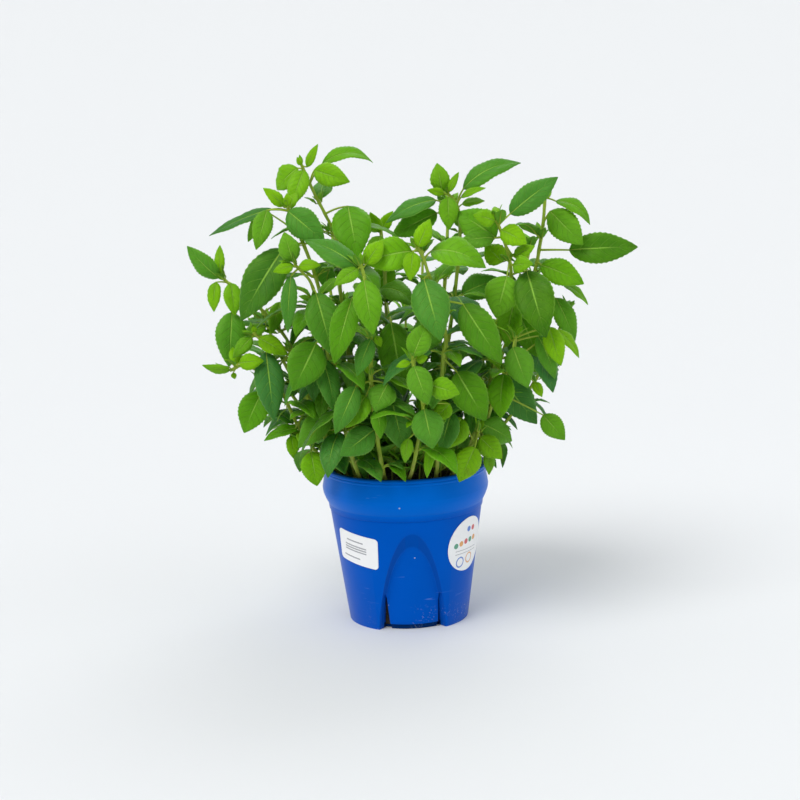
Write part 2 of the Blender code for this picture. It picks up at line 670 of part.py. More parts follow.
# Leaves

class Leaf:
    """One leaf: its root on the stem, its blade's base and tip, the way its upper face looks, its width."""

    def __init__(self, root, base, tip, face, width, arch=BLADE_ARCH):
        self.root = root
        self.base = base
        self.tip = tip
        self.width = width
        axis = (tip - base).normalized()
        self.face = (face - axis * face.dot(axis)).normalized()
        self.arch = arch

    def spine(self, t):
        """The blade's midrib, a curve that bows towards its upper face."""
        middle = (self.base + self.tip) / 2 + self.face * (2 * self.arch * (self.tip - self.base).length)
        return self.base * (1 - t) ** 2 + middle * (2 * t * (1 - t)) + self.tip * t ** 2

    def frame(self, t):
        """Direction along the blade, across it, and out of its upper face."""
        along = (self.spine(min(1, t + 0.02)) - self.spine(max(0, t - 0.02))).normalized()
        across = along.cross(self.face).normalized()
        return along, across, across.cross(along).normalized()

    def stations(self):
        """Where the sections stand along the blade: fewer on a smaller one."""
        length = (self.tip - self.base).length
        if length > LARGE_BLADE:
            return LARGE_STATIONS
        return MEDIUM_STATIONS if length > SMALL_BLADE else SMALL_STATIONS

    def half_width(self, t):
        widest = BLADE_BASE_POWER / (BLADE_BASE_POWER + BLADE_TIP_POWER)
        peak = widest ** BLADE_BASE_POWER * (1 - widest) ** BLADE_TIP_POWER
        return self.width / 2 * t ** BLADE_BASE_POWER * (1 - t) ** BLADE_TIP_POWER / peak


def leaf_sections(leaf):
    """The sections along a leaf, from the root: centre, across, up, half width and thickness."""
    along, across, up = leaf.frame(0.0)
    inward = (leaf.root - leaf.base).normalized()
    side = inward.cross(up)
    side = side.normalized() if side.length > 0.1 else across
    side = -side if side.dot(across) < 0 else side
    over = side.cross(-inward).normalized()
    start = leaf.root + inward * 0.5 * MM - over * 0.5 * PETIOLE_HALF
    sections = [(centre, side, over, PETIOLE_HALF, PETIOLE_DEPTH) for centre in (start, leaf.base)]
    for t in leaf.stations():
        along, across, up = leaf.frame(t)
        sections.append((leaf.spine(t), across, up, leaf.half_width(t), BLADE_THICKNESS))
    return sections


def leaf_mesh(leaf):
    """Points and triangles of a leaf's solid, with a ridge along its midrib."""
    verts = []
    for centre, across, up, half, thickness in leaf_sections(leaf):
        verts += [centre + across * half, centre + up * thickness, centre - across * half]
    faces = [(0, 1, 2)]
    for k in range(0, len(verts) - 3, 3):
        right, ridge, left = k, k + 1, k + 2
        faces += [(right, ridge + 3, ridge), (right, right + 3, ridge + 3)]
        faces += [(ridge, ridge + 3, left), (ridge + 3, left + 3, left)]
        faces += [(left, right + 3, right), (left, left + 3, right + 3)]
    end = len(verts)
    verts.append(leaf.tip)
    last = end - 3
    faces += [(last, end, last + 1), (last + 1, end, last + 2), (last + 2, end, last)]
    return verts, faces


def leaf_envelope(leaf, growth, blade_only):
    """A box-sided hull that stands off a leaf all round, for the tests of clearance."""
    sections = leaf_sections(leaf)[1 if blade_only else 0:]
    ahead = (leaf.tip - leaf.base).normalized()
    centre, across, up, half, thickness = sections[-1]
    sections.append((leaf.tip + ahead * growth, across, up, 0.2 * MM, 0.2 * MM))
    verts = []
    for centre, across, up, half, thickness in sections:
        for side, level in ((1, -growth), (1, thickness + growth), (-1, thickness + growth), (-1, -growth)):
            verts.append(centre + across * side * (half + growth) + up * level)
    faces = [(0, 1, 2), (0, 2, 3)]
    end = len(verts) - 4
    faces += [(end, end + 2, end + 1), (end, end + 3, end + 2)]
    for k in range(0, end, 4):
        for corner in range(4):
            a, b = k + corner, k + (corner + 1) % 4
            faces += [(a, b + 4, b), (a, a + 4, b + 4)]
    return verts, faces


class Space:
    """What is already placed, and the test that a new piece is clear of it."""

    def __init__(self):
        self.pieces = []

    def add(self, owner, kind, verts, faces):
        tree = BVHTree.FromPolygons(verts, faces, all_triangles=True)
        low = [min(v[k] for v in verts) for k in range(3)]
        high = [max(v[k] for v in verts) for k in range(3)]
        self.pieces.append((owner, kind, tree, low, high))

    def is_clear(self, owner, verts, faces, blade_verts, blade_faces):
        tree = BVHTree.FromPolygons(verts, faces, all_triangles=True)
        blade = BVHTree.FromPolygons(blade_verts, blade_faces, all_triangles=True)
        low = [min(v[k] for v in verts) for k in range(3)]
        high = [max(v[k] for v in verts) for k in range(3)]
        for other, kind, other_tree, other_low, other_high in self.pieces:
            if any(low[k] > other_high[k] or high[k] < other_low[k] for k in range(3)):
                continue
            if other == owner and kind == "whole":
                continue
            if other != owner and kind == "blade":
                continue
            mine = blade if other == owner else tree
            if mine.overlap(other_tree):
                return False
        return True

    def add_leaf(self, owner, leaf):
        self.add(owner, "whole", *leaf_envelope(leaf, 0.0, False))
        self.add(owner, "blade", *leaf_envelope(leaf, 0.0, True))

    def leaf_is_clear(self, owner, leaf):
        whole = leaf_envelope(leaf, TEST_GROWTH, False)
        blade = leaf_envelope(leaf, 0.2 * MM, True)
        return self.is_clear(owner, *whole, *blade)


# Stems

class Stem:
    """A leafy stem: the points read for it, its line from tip to foot, and the rows of its leaves."""

    def __init__(self, name, read_points, root, rows):
        self.name = name
        self.read_points = read_points
        self.root = root
        self.rows = rows
        self.path = read_points + stem_foot(read_points[-1], root)
        self.leaves = []

    def nodes(self):
        """Points where leaf pairs grow, from the tip down."""
        found = []
        travelled = 0.0
        next_at = 1.5 * PAIR_STEP
        for upper, lower in zip(self.path, self.path[1:]):
            length = (lower - upper).length
            while next_at <= travelled + length:
                point = upper.lerp(lower, (next_at - travelled) / length)
                if point.z < SOIL_TOP + NODE_ABOVE_SOIL:
                    return found
                found.append(point)
                next_at += NODE_SPACING
            travelled += length
        return found


def stem_foot(last, root):
    """The lowest points of a stem: it bends down to its root and stands upright in the soil."""
    foot = Vector((root[0] * MM, root[1] * MM, SOIL_TOP))
    stand = foot + Vector((0, 0, STAND_HEIGHT))
    bend = (last + stand) / 2 - Vector((0, 0, FOOT_SAG * (last - stand).length))
    lower = [last * (1 - t) ** 2 + bend * 2 * t * (1 - t) + stand * t * t for t in (0.34, 0.67, 1.0)]
    return lower + [foot - Vector((0, 0, HOLE_DEPTH))]


def front_stems():
    stems = []
    for name, path, root, rows in FRONT_STEMS:
        stems.append(Stem(name, [seen_at(*point) for point in path], root, rows))
    return stems


def back_stems():
    stems = []
    for k, (bearing, reach, height, root_reach) in enumerate(BACK_STEMS):
        outward = Vector((math.cos(math.radians(bearing)), math.sin(math.radians(bearing)), 0))
        top = height * MM
        while not inside_outline(outward * reach * MM + Vector((0, 0, top + BACK_TIP_ROOM))):
            top -= BACK_TIP_STEP
        tip = outward * reach * MM + Vector((0, 0, top))
        stand = outward * root_reach * MM + Vector((0, 0, SOIL_TOP + STAND_HEIGHT))
        bulge = outward * (root_reach + BACK_BULGE_OUT * (reach - root_reach)) * MM
        bulge += Vector((0, 0, SOIL_TOP + BACK_BULGE_UP * (top - SOIL_TOP)))
        points = [tip * (1 - t) ** 2 + bulge * 2 * t * (1 - t) + stand * t * t for t in BACK_SHARES]
        stems.append(Stem(f"rear_{k + 1:02d}", points, (stand.x / MM, stand.y / MM), ()))
    return stems


def stem_tube(stem, collection):
    """The bare stem as a mesh: a square tube that thins towards its tip."""
    curve = bpy.data.curves.new(stem.name, "CURVE")
    curve.dimensions = "3D"
    curve.bevel_depth = STEM_ROOT_RADIUS
    curve.bevel_resolution = 0
    curve.use_fill_caps = True
    spline = curve.splines.new("POLY")
    spline.points.add(len(stem.path) - 1)
    travelled = 0.0
    previous = stem.path[0]
    end = (stem.path[0] - stem.path[1]).normalized() * STEM_END
    for k, (point, place) in enumerate(zip(spline.points, stem.path)):
        travelled += (place - previous).length
        previous = place
        place = place + end if k == 0 else place
        share = min(1.0, travelled / STEM_THICKENING)
        point.co = (*place, 1.0)
        point.radius = (STEM_TIP_RADIUS + (STEM_ROOT_RADIUS - STEM_TIP_RADIUS) * share) / STEM_ROOT_RADIUS
    holder = bpy.data.objects.new(stem.name + "_curve", curve)
    collection.objects.link(holder)
    depsgraph = bpy.context.evaluated_depsgraph_get()
    mesh = bpy.data.meshes.new_from_object(holder.evaluated_get(depsgraph))
    tube = bpy.data.objects.new(stem.name, mesh)
    tube.matrix_world = holder.matrix_world
    bpy.data.objects.remove(holder)
    bm = bmesh.new()
    bm.from_mesh(mesh)
    bmesh.ops.remove_doubles(bm, verts=bm.verts, dist=0.01 * MM)
    bmesh.ops.triangulate(bm, faces=bm.faces)
    bm.to_mesh(mesh)
    bm.free()
    collection.objects.link(tube)
    return tube


def read_leaf(stem, row, level, base_shift, tip_shift, roll_shift):
    """A leaf from a row of the table, slid in depth along the lines of sight. Pairs grow level by level."""
    point, base_x, base_y, tip_x, tip_y, base_depth, tip_depth, width, roll = row[:9]
    arch = row[9] if len(row) > 9 else BLADE_ARCH
    root = stem.read_points[point]
    downward = (stem.path[point + 1] - root).normalized()
    root = root + downward * PAIR_STEP * level
    depth = root.y / MM
    base = seen_at(base_x, base_y, depth + base_depth + base_shift)
    tip = seen_at(tip_x, tip_y, depth + tip_depth + tip_shift)
    axis = (tip - base).normalized()
    towards = (EYE - (base + tip) / 2).normalized()
    face = (towards - axis * towards.dot(axis)).normalized()
    across = axis.cross(face)
    upward = 1 if across.z > 0 else -1
    angle = math.radians(roll * upward + roll_shift)
    face = face * math.cos(angle) + across * math.sin(angle)
    return Leaf(root, base, tip, face, width * MM, arch)


# Trials of a leaf that was read: shifts of its base and tip along the lines of sight in mm, and of its
# roll in degrees
READ_SHIFTS = (
    (0, 0, 0), (0, -8, 0), (0, 8, 0), (-5, -5, 0), (5, 5, 0), (0, 0, 14), (0, 0, -14), (-8, -16, 0),
    (8, 16, 0), (0, -8, 14), (0, 8, -14), (-10, -10, 0), (10, 10, 0), (-5, -16, -14), (5, 16, 14),
    (-16, -24, 0), (16, 24, 0), (-16, -16, 14), (16, 16, -14), (0, -20, 20), (0, 20, -20), (-24, -30, 0),
    (24, 30, 0), (-8, -28, 25), (8, 28, -25), (-32, -40, 0), (30, 40, 0),
)


def rule_leaf(point, bearing, order, size, vary):
    """A leaf by rule: small and raised near the tip, long and drooping lower down."""
    turn, lift, scale = vary
    scale = scale * size
    length_mm, rise_degrees, stalk_mm = RULE_LEAVES[min(order, len(RULE_LEAVES) - 1)]
    length = length_mm * MM * scale
    outward = Vector((math.cos(bearing + turn), math.sin(bearing + turn), 0))
    upright = Vector((0, 0, 1))
    rise = math.radians(rise_degrees) + lift
    stalk_rise = 0.4 * rise + STALK_RISE
    base = point + (outward * math.cos(stalk_rise) + upright * math.sin(stalk_rise)) * stalk_mm * MM
    tip = base + (outward * math.cos(rise) + upright * math.sin(rise)) * length
    return Leaf(point, base, tip, upright + outward * 0.25, length * RULE_WIDTH, RULE_ARCH)


def grow_leaves(stems, space):
    """Places the leaves read from the photograph, then pairs by rule, then smaller leaves between them."""
    for stem in stems:
        seen = {}
        for row in stem.rows:
            level = seen.get(row[0], 0)
            seen[row[0]] = level + 0.5
            for base_shift, tip_shift, roll_shift in READ_SHIFTS:
                leaf = read_leaf(stem, row, int(level), base_shift, tip_shift, roll_shift)
                if space.leaf_is_clear(stem.name, leaf):
                    stem.leaves.append(leaf)
                    space.add_leaf(stem.name, leaf)
                    break
    draw = random.Random(SEED)
    for order in range(len(RULE_LEAVES) + 1):
        for number, stem in enumerate(stems):
            nodes = stem.nodes()
            if order >= len(nodes):
                continue
            first = number * 1.1 + order * math.pi / 2 + draw.uniform(-0.3, 0.3)
            for bearing in (first, first + math.pi):
                if not taken(stem, nodes[order], bearing):
                    place_by_rule(stem, nodes[order], bearing, order, 1.0, space, draw)
    for number, stem in enumerate(stems):
        for order, point in enumerate(stem.nodes()[AXIL_FIRST:], AXIL_FIRST):
            bearing = number * 1.1 + (order + 1) * math.pi / 2
            bearing += math.pi if math.sin(bearing) > 0 else 0
            if not taken(stem, point, bearing):
                place_by_rule(stem, point, bearing, order, AXIL_SIZE, space, draw)


def taken(stem, point, bearing):
    """Whether a leaf already grows near a point of the stem towards about the same bearing."""
    for leaf in stem.leaves:
        if (leaf.root - point).length > TAKEN_DISTANCE:
            continue
        out = leaf.tip - leaf.root
        gap = (math.atan2(out.y, out.x) - bearing + math.pi) % (2 * math.pi) - math.pi
        if abs(gap) < TAKEN_TURN:
            return True
    return False


def place_by_rule(stem, point, bearing, order, size, space, draw):
    """Tries a leaf in slightly different places and sizes, and keeps the first that finds room."""
    for attempt in range(RULE_TRIALS):
        turn = draw.uniform(-0.12, 0.12) * attempt
        lift = draw.uniform(-0.06, 0.06) * attempt
        vary = (turn, lift, 1.0 - 0.03 * attempt)
        leaf = rule_leaf(point, bearing, order, size, vary)
        centre = leaf.spine(0.5)
        across = leaf.frame(0.5)[1] * leaf.width / 2
        if not all(inside_outline(place) for place in (leaf.tip, centre + across, centre - across)):
            continue
        if leaf.tip.z > LOWEST_TIP and space.leaf_is_clear(stem.name, leaf):
            stem.leaves.append(leaf)
            space.add_leaf(stem.name, leaf)
            return


def pot_shell():
    """Plain turned surfaces of the pot and the soil, for the tests of clearance."""
    steps = SHELL_STEPS
    bed = SOIL_TOP + 2 * SOIL_BUMP
    mouth = RIM_RADIUS - WALL
    profile = pot_profile()[-2:0:-1] + [(mouth, POT_HEIGHT), (mouth, bed), (0.1 * MM, bed)]
    verts = []
    for r, z in profile:
        for k in range(steps):
            angle = 2 * math.pi * k / steps
            verts.append(Vector((r * math.cos(angle), r * math.sin(angle), z)))
    faces = []
    for low in range(0, len(verts) - steps, steps):
        for k in range(steps):
            after = (k + 1) % steps
            faces.append((low + k, low + after, low + steps + after))
            faces.append((low + k, low + steps + after, low + steps + k))
    return verts, faces


def fuse(stem, tube, parts, material):
    """Joins a stem and its leaves into one solid. The tiny leaves at its tip are left out."""
    leaves = new_collection(stem.name + "_leaves")
    for k, leaf in enumerate(stem.leaves):
        if (leaf.tip - leaf.base).length > TINY_BLADE:
            mesh_object(f"{stem.name}_leaf_{k}", *leaf_mesh(leaf), leaves)
    union = tube.modifiers.new("Union", "BOOLEAN")
    union.operation = "UNION"
    union.operand_type = "COLLECTION"
    union.collection = leaves
    union.solver = "MANIFOLD"
    depsgraph = bpy.context.evaluated_depsgraph_get()
    mesh = bpy.data.meshes.new_from_object(tube.evaluated_get(depsgraph))
    for obj in list(leaves.objects):
        bpy.data.objects.remove(obj)
    bpy.data.collections.remove(leaves)
    name = "stem_" + stem.name
    bpy.data.objects.remove(tube)
    mesh.materials.clear()
    mesh.materials.append(material)
    node = bpy.data.objects.new(name, mesh)
    parts.objects.link(node)
    return node


def main():
    clear_scene()
    parts = new_collection("potted_peppermint")
    cutters = new_collection("cutters")
    stems = front_stems() + back_stems()
    make_pot(parts, cutters)
    make_stickers(parts)
    make_soil(parts, cutters, [(stem.path[-1].x, stem.path[-1].y) for stem in stems])

    space = Space()
    space.add("pot", "whole", *pot_shell())
    tubes = {}
    for stem in stems:
        tube = stem_tube(stem, cutters)
        tubes[stem.name] = tube
        verts = [v.co.copy() for v in tube.data.vertices]
        faces = [tuple(p.vertices) for p in tube.data.polygons]
        space.add(stem.name, "whole", verts, faces)
        space.add(stem.name, "blade", verts, faces)
    grow_leaves(stems, space)
    for stem in stems:
        fuse(stem, tubes[stem.name], parts, new_material("leaf_" + stem.name, LEAF_GREEN, 0.5))


main()
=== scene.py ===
# Potted peppermint, dressed: a blue nursery pot with crumbly soil, leafy stems and two plain stickers.
# Metres, +Z up. The origin is the centre of the pot's flat underside, and the camera looks along +Y.

import math
import random

import bmesh
import bpy
from mathutils import Matrix, Vector
from mathutils.bvhtree import BVHTree


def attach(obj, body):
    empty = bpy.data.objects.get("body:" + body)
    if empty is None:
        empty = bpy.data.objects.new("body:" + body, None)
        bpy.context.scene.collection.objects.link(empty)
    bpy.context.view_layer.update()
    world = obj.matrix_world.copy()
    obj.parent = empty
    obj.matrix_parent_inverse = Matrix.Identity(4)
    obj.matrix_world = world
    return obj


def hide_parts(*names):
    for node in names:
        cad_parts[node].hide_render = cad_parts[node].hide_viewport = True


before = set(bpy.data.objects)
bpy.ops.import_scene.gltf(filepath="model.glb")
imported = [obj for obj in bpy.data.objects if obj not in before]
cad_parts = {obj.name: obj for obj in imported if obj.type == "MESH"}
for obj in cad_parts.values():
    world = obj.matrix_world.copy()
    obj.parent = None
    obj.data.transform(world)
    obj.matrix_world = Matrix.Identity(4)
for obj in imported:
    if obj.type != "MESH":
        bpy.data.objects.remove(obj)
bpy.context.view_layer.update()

MM = 0.001
CLEARANCE = 0.3 * MM

# Pot
POT_HEIGHT = 123 * MM
RIM_RADIUS = 62.2 * MM
BEAD_RADIUS = 63.6 * MM
BEAD_DROP = 2.6 * MM
GROOVE_DROP = 5.2 * MM
GROOVE_DEPTH = 0.5 * MM
COLLAR_RADIUS = 65.0 * MM
COLLAR_DROP = 16.5 * MM
COLLAR_FOOT = 94.3 * MM
COLLAR_BELLY = ((0.4 * MM, 8.5 * MM), (2.3 * MM, 3.6 * MM))
NECK_RADIUS = 60.7 * MM
NECK_STEP = 0.5 * MM
NECK_STEP_HEIGHT = 90.0 * MM
BASE_RADIUS = 46.9 * MM
WALL = 1.8 * MM
FLOOR = 2.0 * MM
SHELL_STEPS = 32

# Arched recesses round the pot's foot
ARCH_COUNT = 3
ARCH_TURN = math.radians(3.7)
ARCH_HEIGHT = 81.5 * MM
ARCH_HALF = 27.8 * MM
ARCH_POWER = 1.38
PANEL_HEIGHT = 66.5 * MM
PANEL_HALF = 25 * MM
PANEL_POWER = 1.8
ARCH_DEPTH = 5 * MM
PANEL_BACKING = 3.0 * MM
TOE_HEIGHT = 4.2 * MM
TOE_DEPTH = 6.8 * MM
TOE_SIDE = 1 * MM
SLIT_HEIGHT = 29 * MM
SLIT_WIDTHS = (6.8 * MM, 3.2 * MM)
SLIT_SIDE = 0.5 * MM
SLIT_DEPTH = 9.6 * MM
SLIT_TIP = 0.8 * MM
CUT_PROUD = 2.5 * MM
CUT_BELOW = 1 * MM
BACKING_SHARES = (0.3, 0.6, 0.86)
BACKING_HEAD = 0.45

# Stickers on the pot's body
STICKER_THICKNESS = 0.4 * MM
PRICE_LABEL_SIZE = (40 * MM, 25 * MM)
PRICE_LABEL_CORNER = 3 * MM
PRICE_LABEL_TURN = math.radians(-44)
PRICE_LABEL_HEIGHT = 65 * MM
PRICE_LABEL_TILT = math.radians(-6.5)
ROUND_LABEL_RADIUS = 21.6 * MM
ROUND_LABEL_TURN = math.radians(55.5)
ROUND_LABEL_HEIGHT = 64.8 * MM

# Soil
SOIL_TOP = 111 * MM
SOIL_BUMP = 1.0 * MM
SOIL_EDGE_DROP = 0.5 * MM
SOIL_RINGS = (20 * MM, 44 * MM)
HOLE_DEPTH = 16 * MM

# The eye that looks at the plant: place, pitch and roll, and the focal length in pixels
EYE = Vector((-0.0023, -1.307, 0.415))
EYE_PITCH = math.radians(10.5)
EYE_ROLL = math.radians(-1.7)
FOCAL_PX = 1707
CENTRE_PX = 400
SENSOR_WIDTH = 36
PICTURE_WIDTH = 800

# Stems and leaves
STEM_ROOT_RADIUS = 2.0 * MM
STEM_TIP_RADIUS = 1.4 * MM
STEM_THICKENING = 160 * MM
STEM_END = 3 * MM
STAND_HEIGHT = 6 * MM
FOOT_SAG = 0.12
FOOT_SHARES = (0.34, 0.67, 1.0)
BACK_SHARES = (0, 0.2, 0.4, 0.6)
BACK_BULGE_OUT = 0.75
BACK_BULGE_UP = 0.45
BACK_TIP_ROOM = 20 * MM
BACK_TIP_STEP = 6 * MM
PETIOLE_HALF = 0.6 * MM
PETIOLE_DEPTH = 1.0 * MM
BLADE_THICKNESS = 1.2 * MM
LARGE_BLADE = 44 * MM
SMALL_BLADE = 25 * MM
LARGE_STATIONS = (0.14, 0.42, 0.75)
MEDIUM_STATIONS = (0.25, 0.66)
SMALL_STATIONS = (0.44,)
BLADE_BASE_POWER = 0.64
BLADE_TIP_POWER = 0.84
BLADE_WIDEST = BLADE_BASE_POWER / (BLADE_BASE_POWER + BLADE_TIP_POWER)
BLADE_PEAK = BLADE_WIDEST ** BLADE_BASE_POWER * (1 - BLADE_WIDEST) ** BLADE_TIP_POWER
BLADE_ARCH = 0.10
TEST_GROWTH = 0.5 * MM
OWN_GROWTH = 0.2 * MM
NODE_SPACING = 27 * MM
NODE_ABOVE_SOIL = 16 * MM
PAIR_STEP = 2.6 * MM
TAKEN_DISTANCE = 15 * MM
TAKEN_TURN = math.radians(55)
LOWEST_TIP = 80 * MM
RULE_TRIALS = 12
TRIAL_TURN = 0.12
TRIAL_LIFT = 0.06
TRIAL_SHRINK = 0.03
STEM_TURN = 1.1
PAIR_SPREAD = 0.3
AXIL_FIRST = 3
AXIL_SIZE = 0.68
RULE_WIDTH = 0.52
RULE_ARCH = 0.13
STALK_RISE = 0.5
SEED = 11

# Leaves placed by rule, from the tip down, as (blade length mm, rise of the blade degrees, stalk length mm)
RULE_LEAVES = ((17, 40, 4), (31, 18, 6), (43, -8, 9), (51, -28, 12), (56, -42, 14), (54, -48, 14),
               (48, -50, 12))

# Outline of the foliage in the photograph, in pixels, clockwise from the pot's left rim
FOLIAGE_OUTLINE = (
    (326, 488), (300, 480), (294, 460), (281, 439), (262, 442), (242, 430), (238, 404), (250, 386),
    (236, 374), (202, 367), (214, 352), (214, 322), (205, 296), (212, 279), (187, 248), (196, 242),
    (222, 256), (206, 236), (260, 204), (264, 189), (282, 196), (290, 160), (318, 142), (356, 143),
    (374, 160), (356, 186), (358, 206), (372, 226), (398, 220), (424, 206), (428, 176), (442, 160),
    (462, 172), (522, 160), (556, 175), (556, 190), (592, 222), (580, 232), (640, 246), (622, 262),
    (586, 270), (590, 304), (580, 340), (580, 358), (562, 368), (560, 384), (550, 408), (568, 440),
    (540, 424), (518, 432), (512, 464), (488, 476), (458, 484),
)

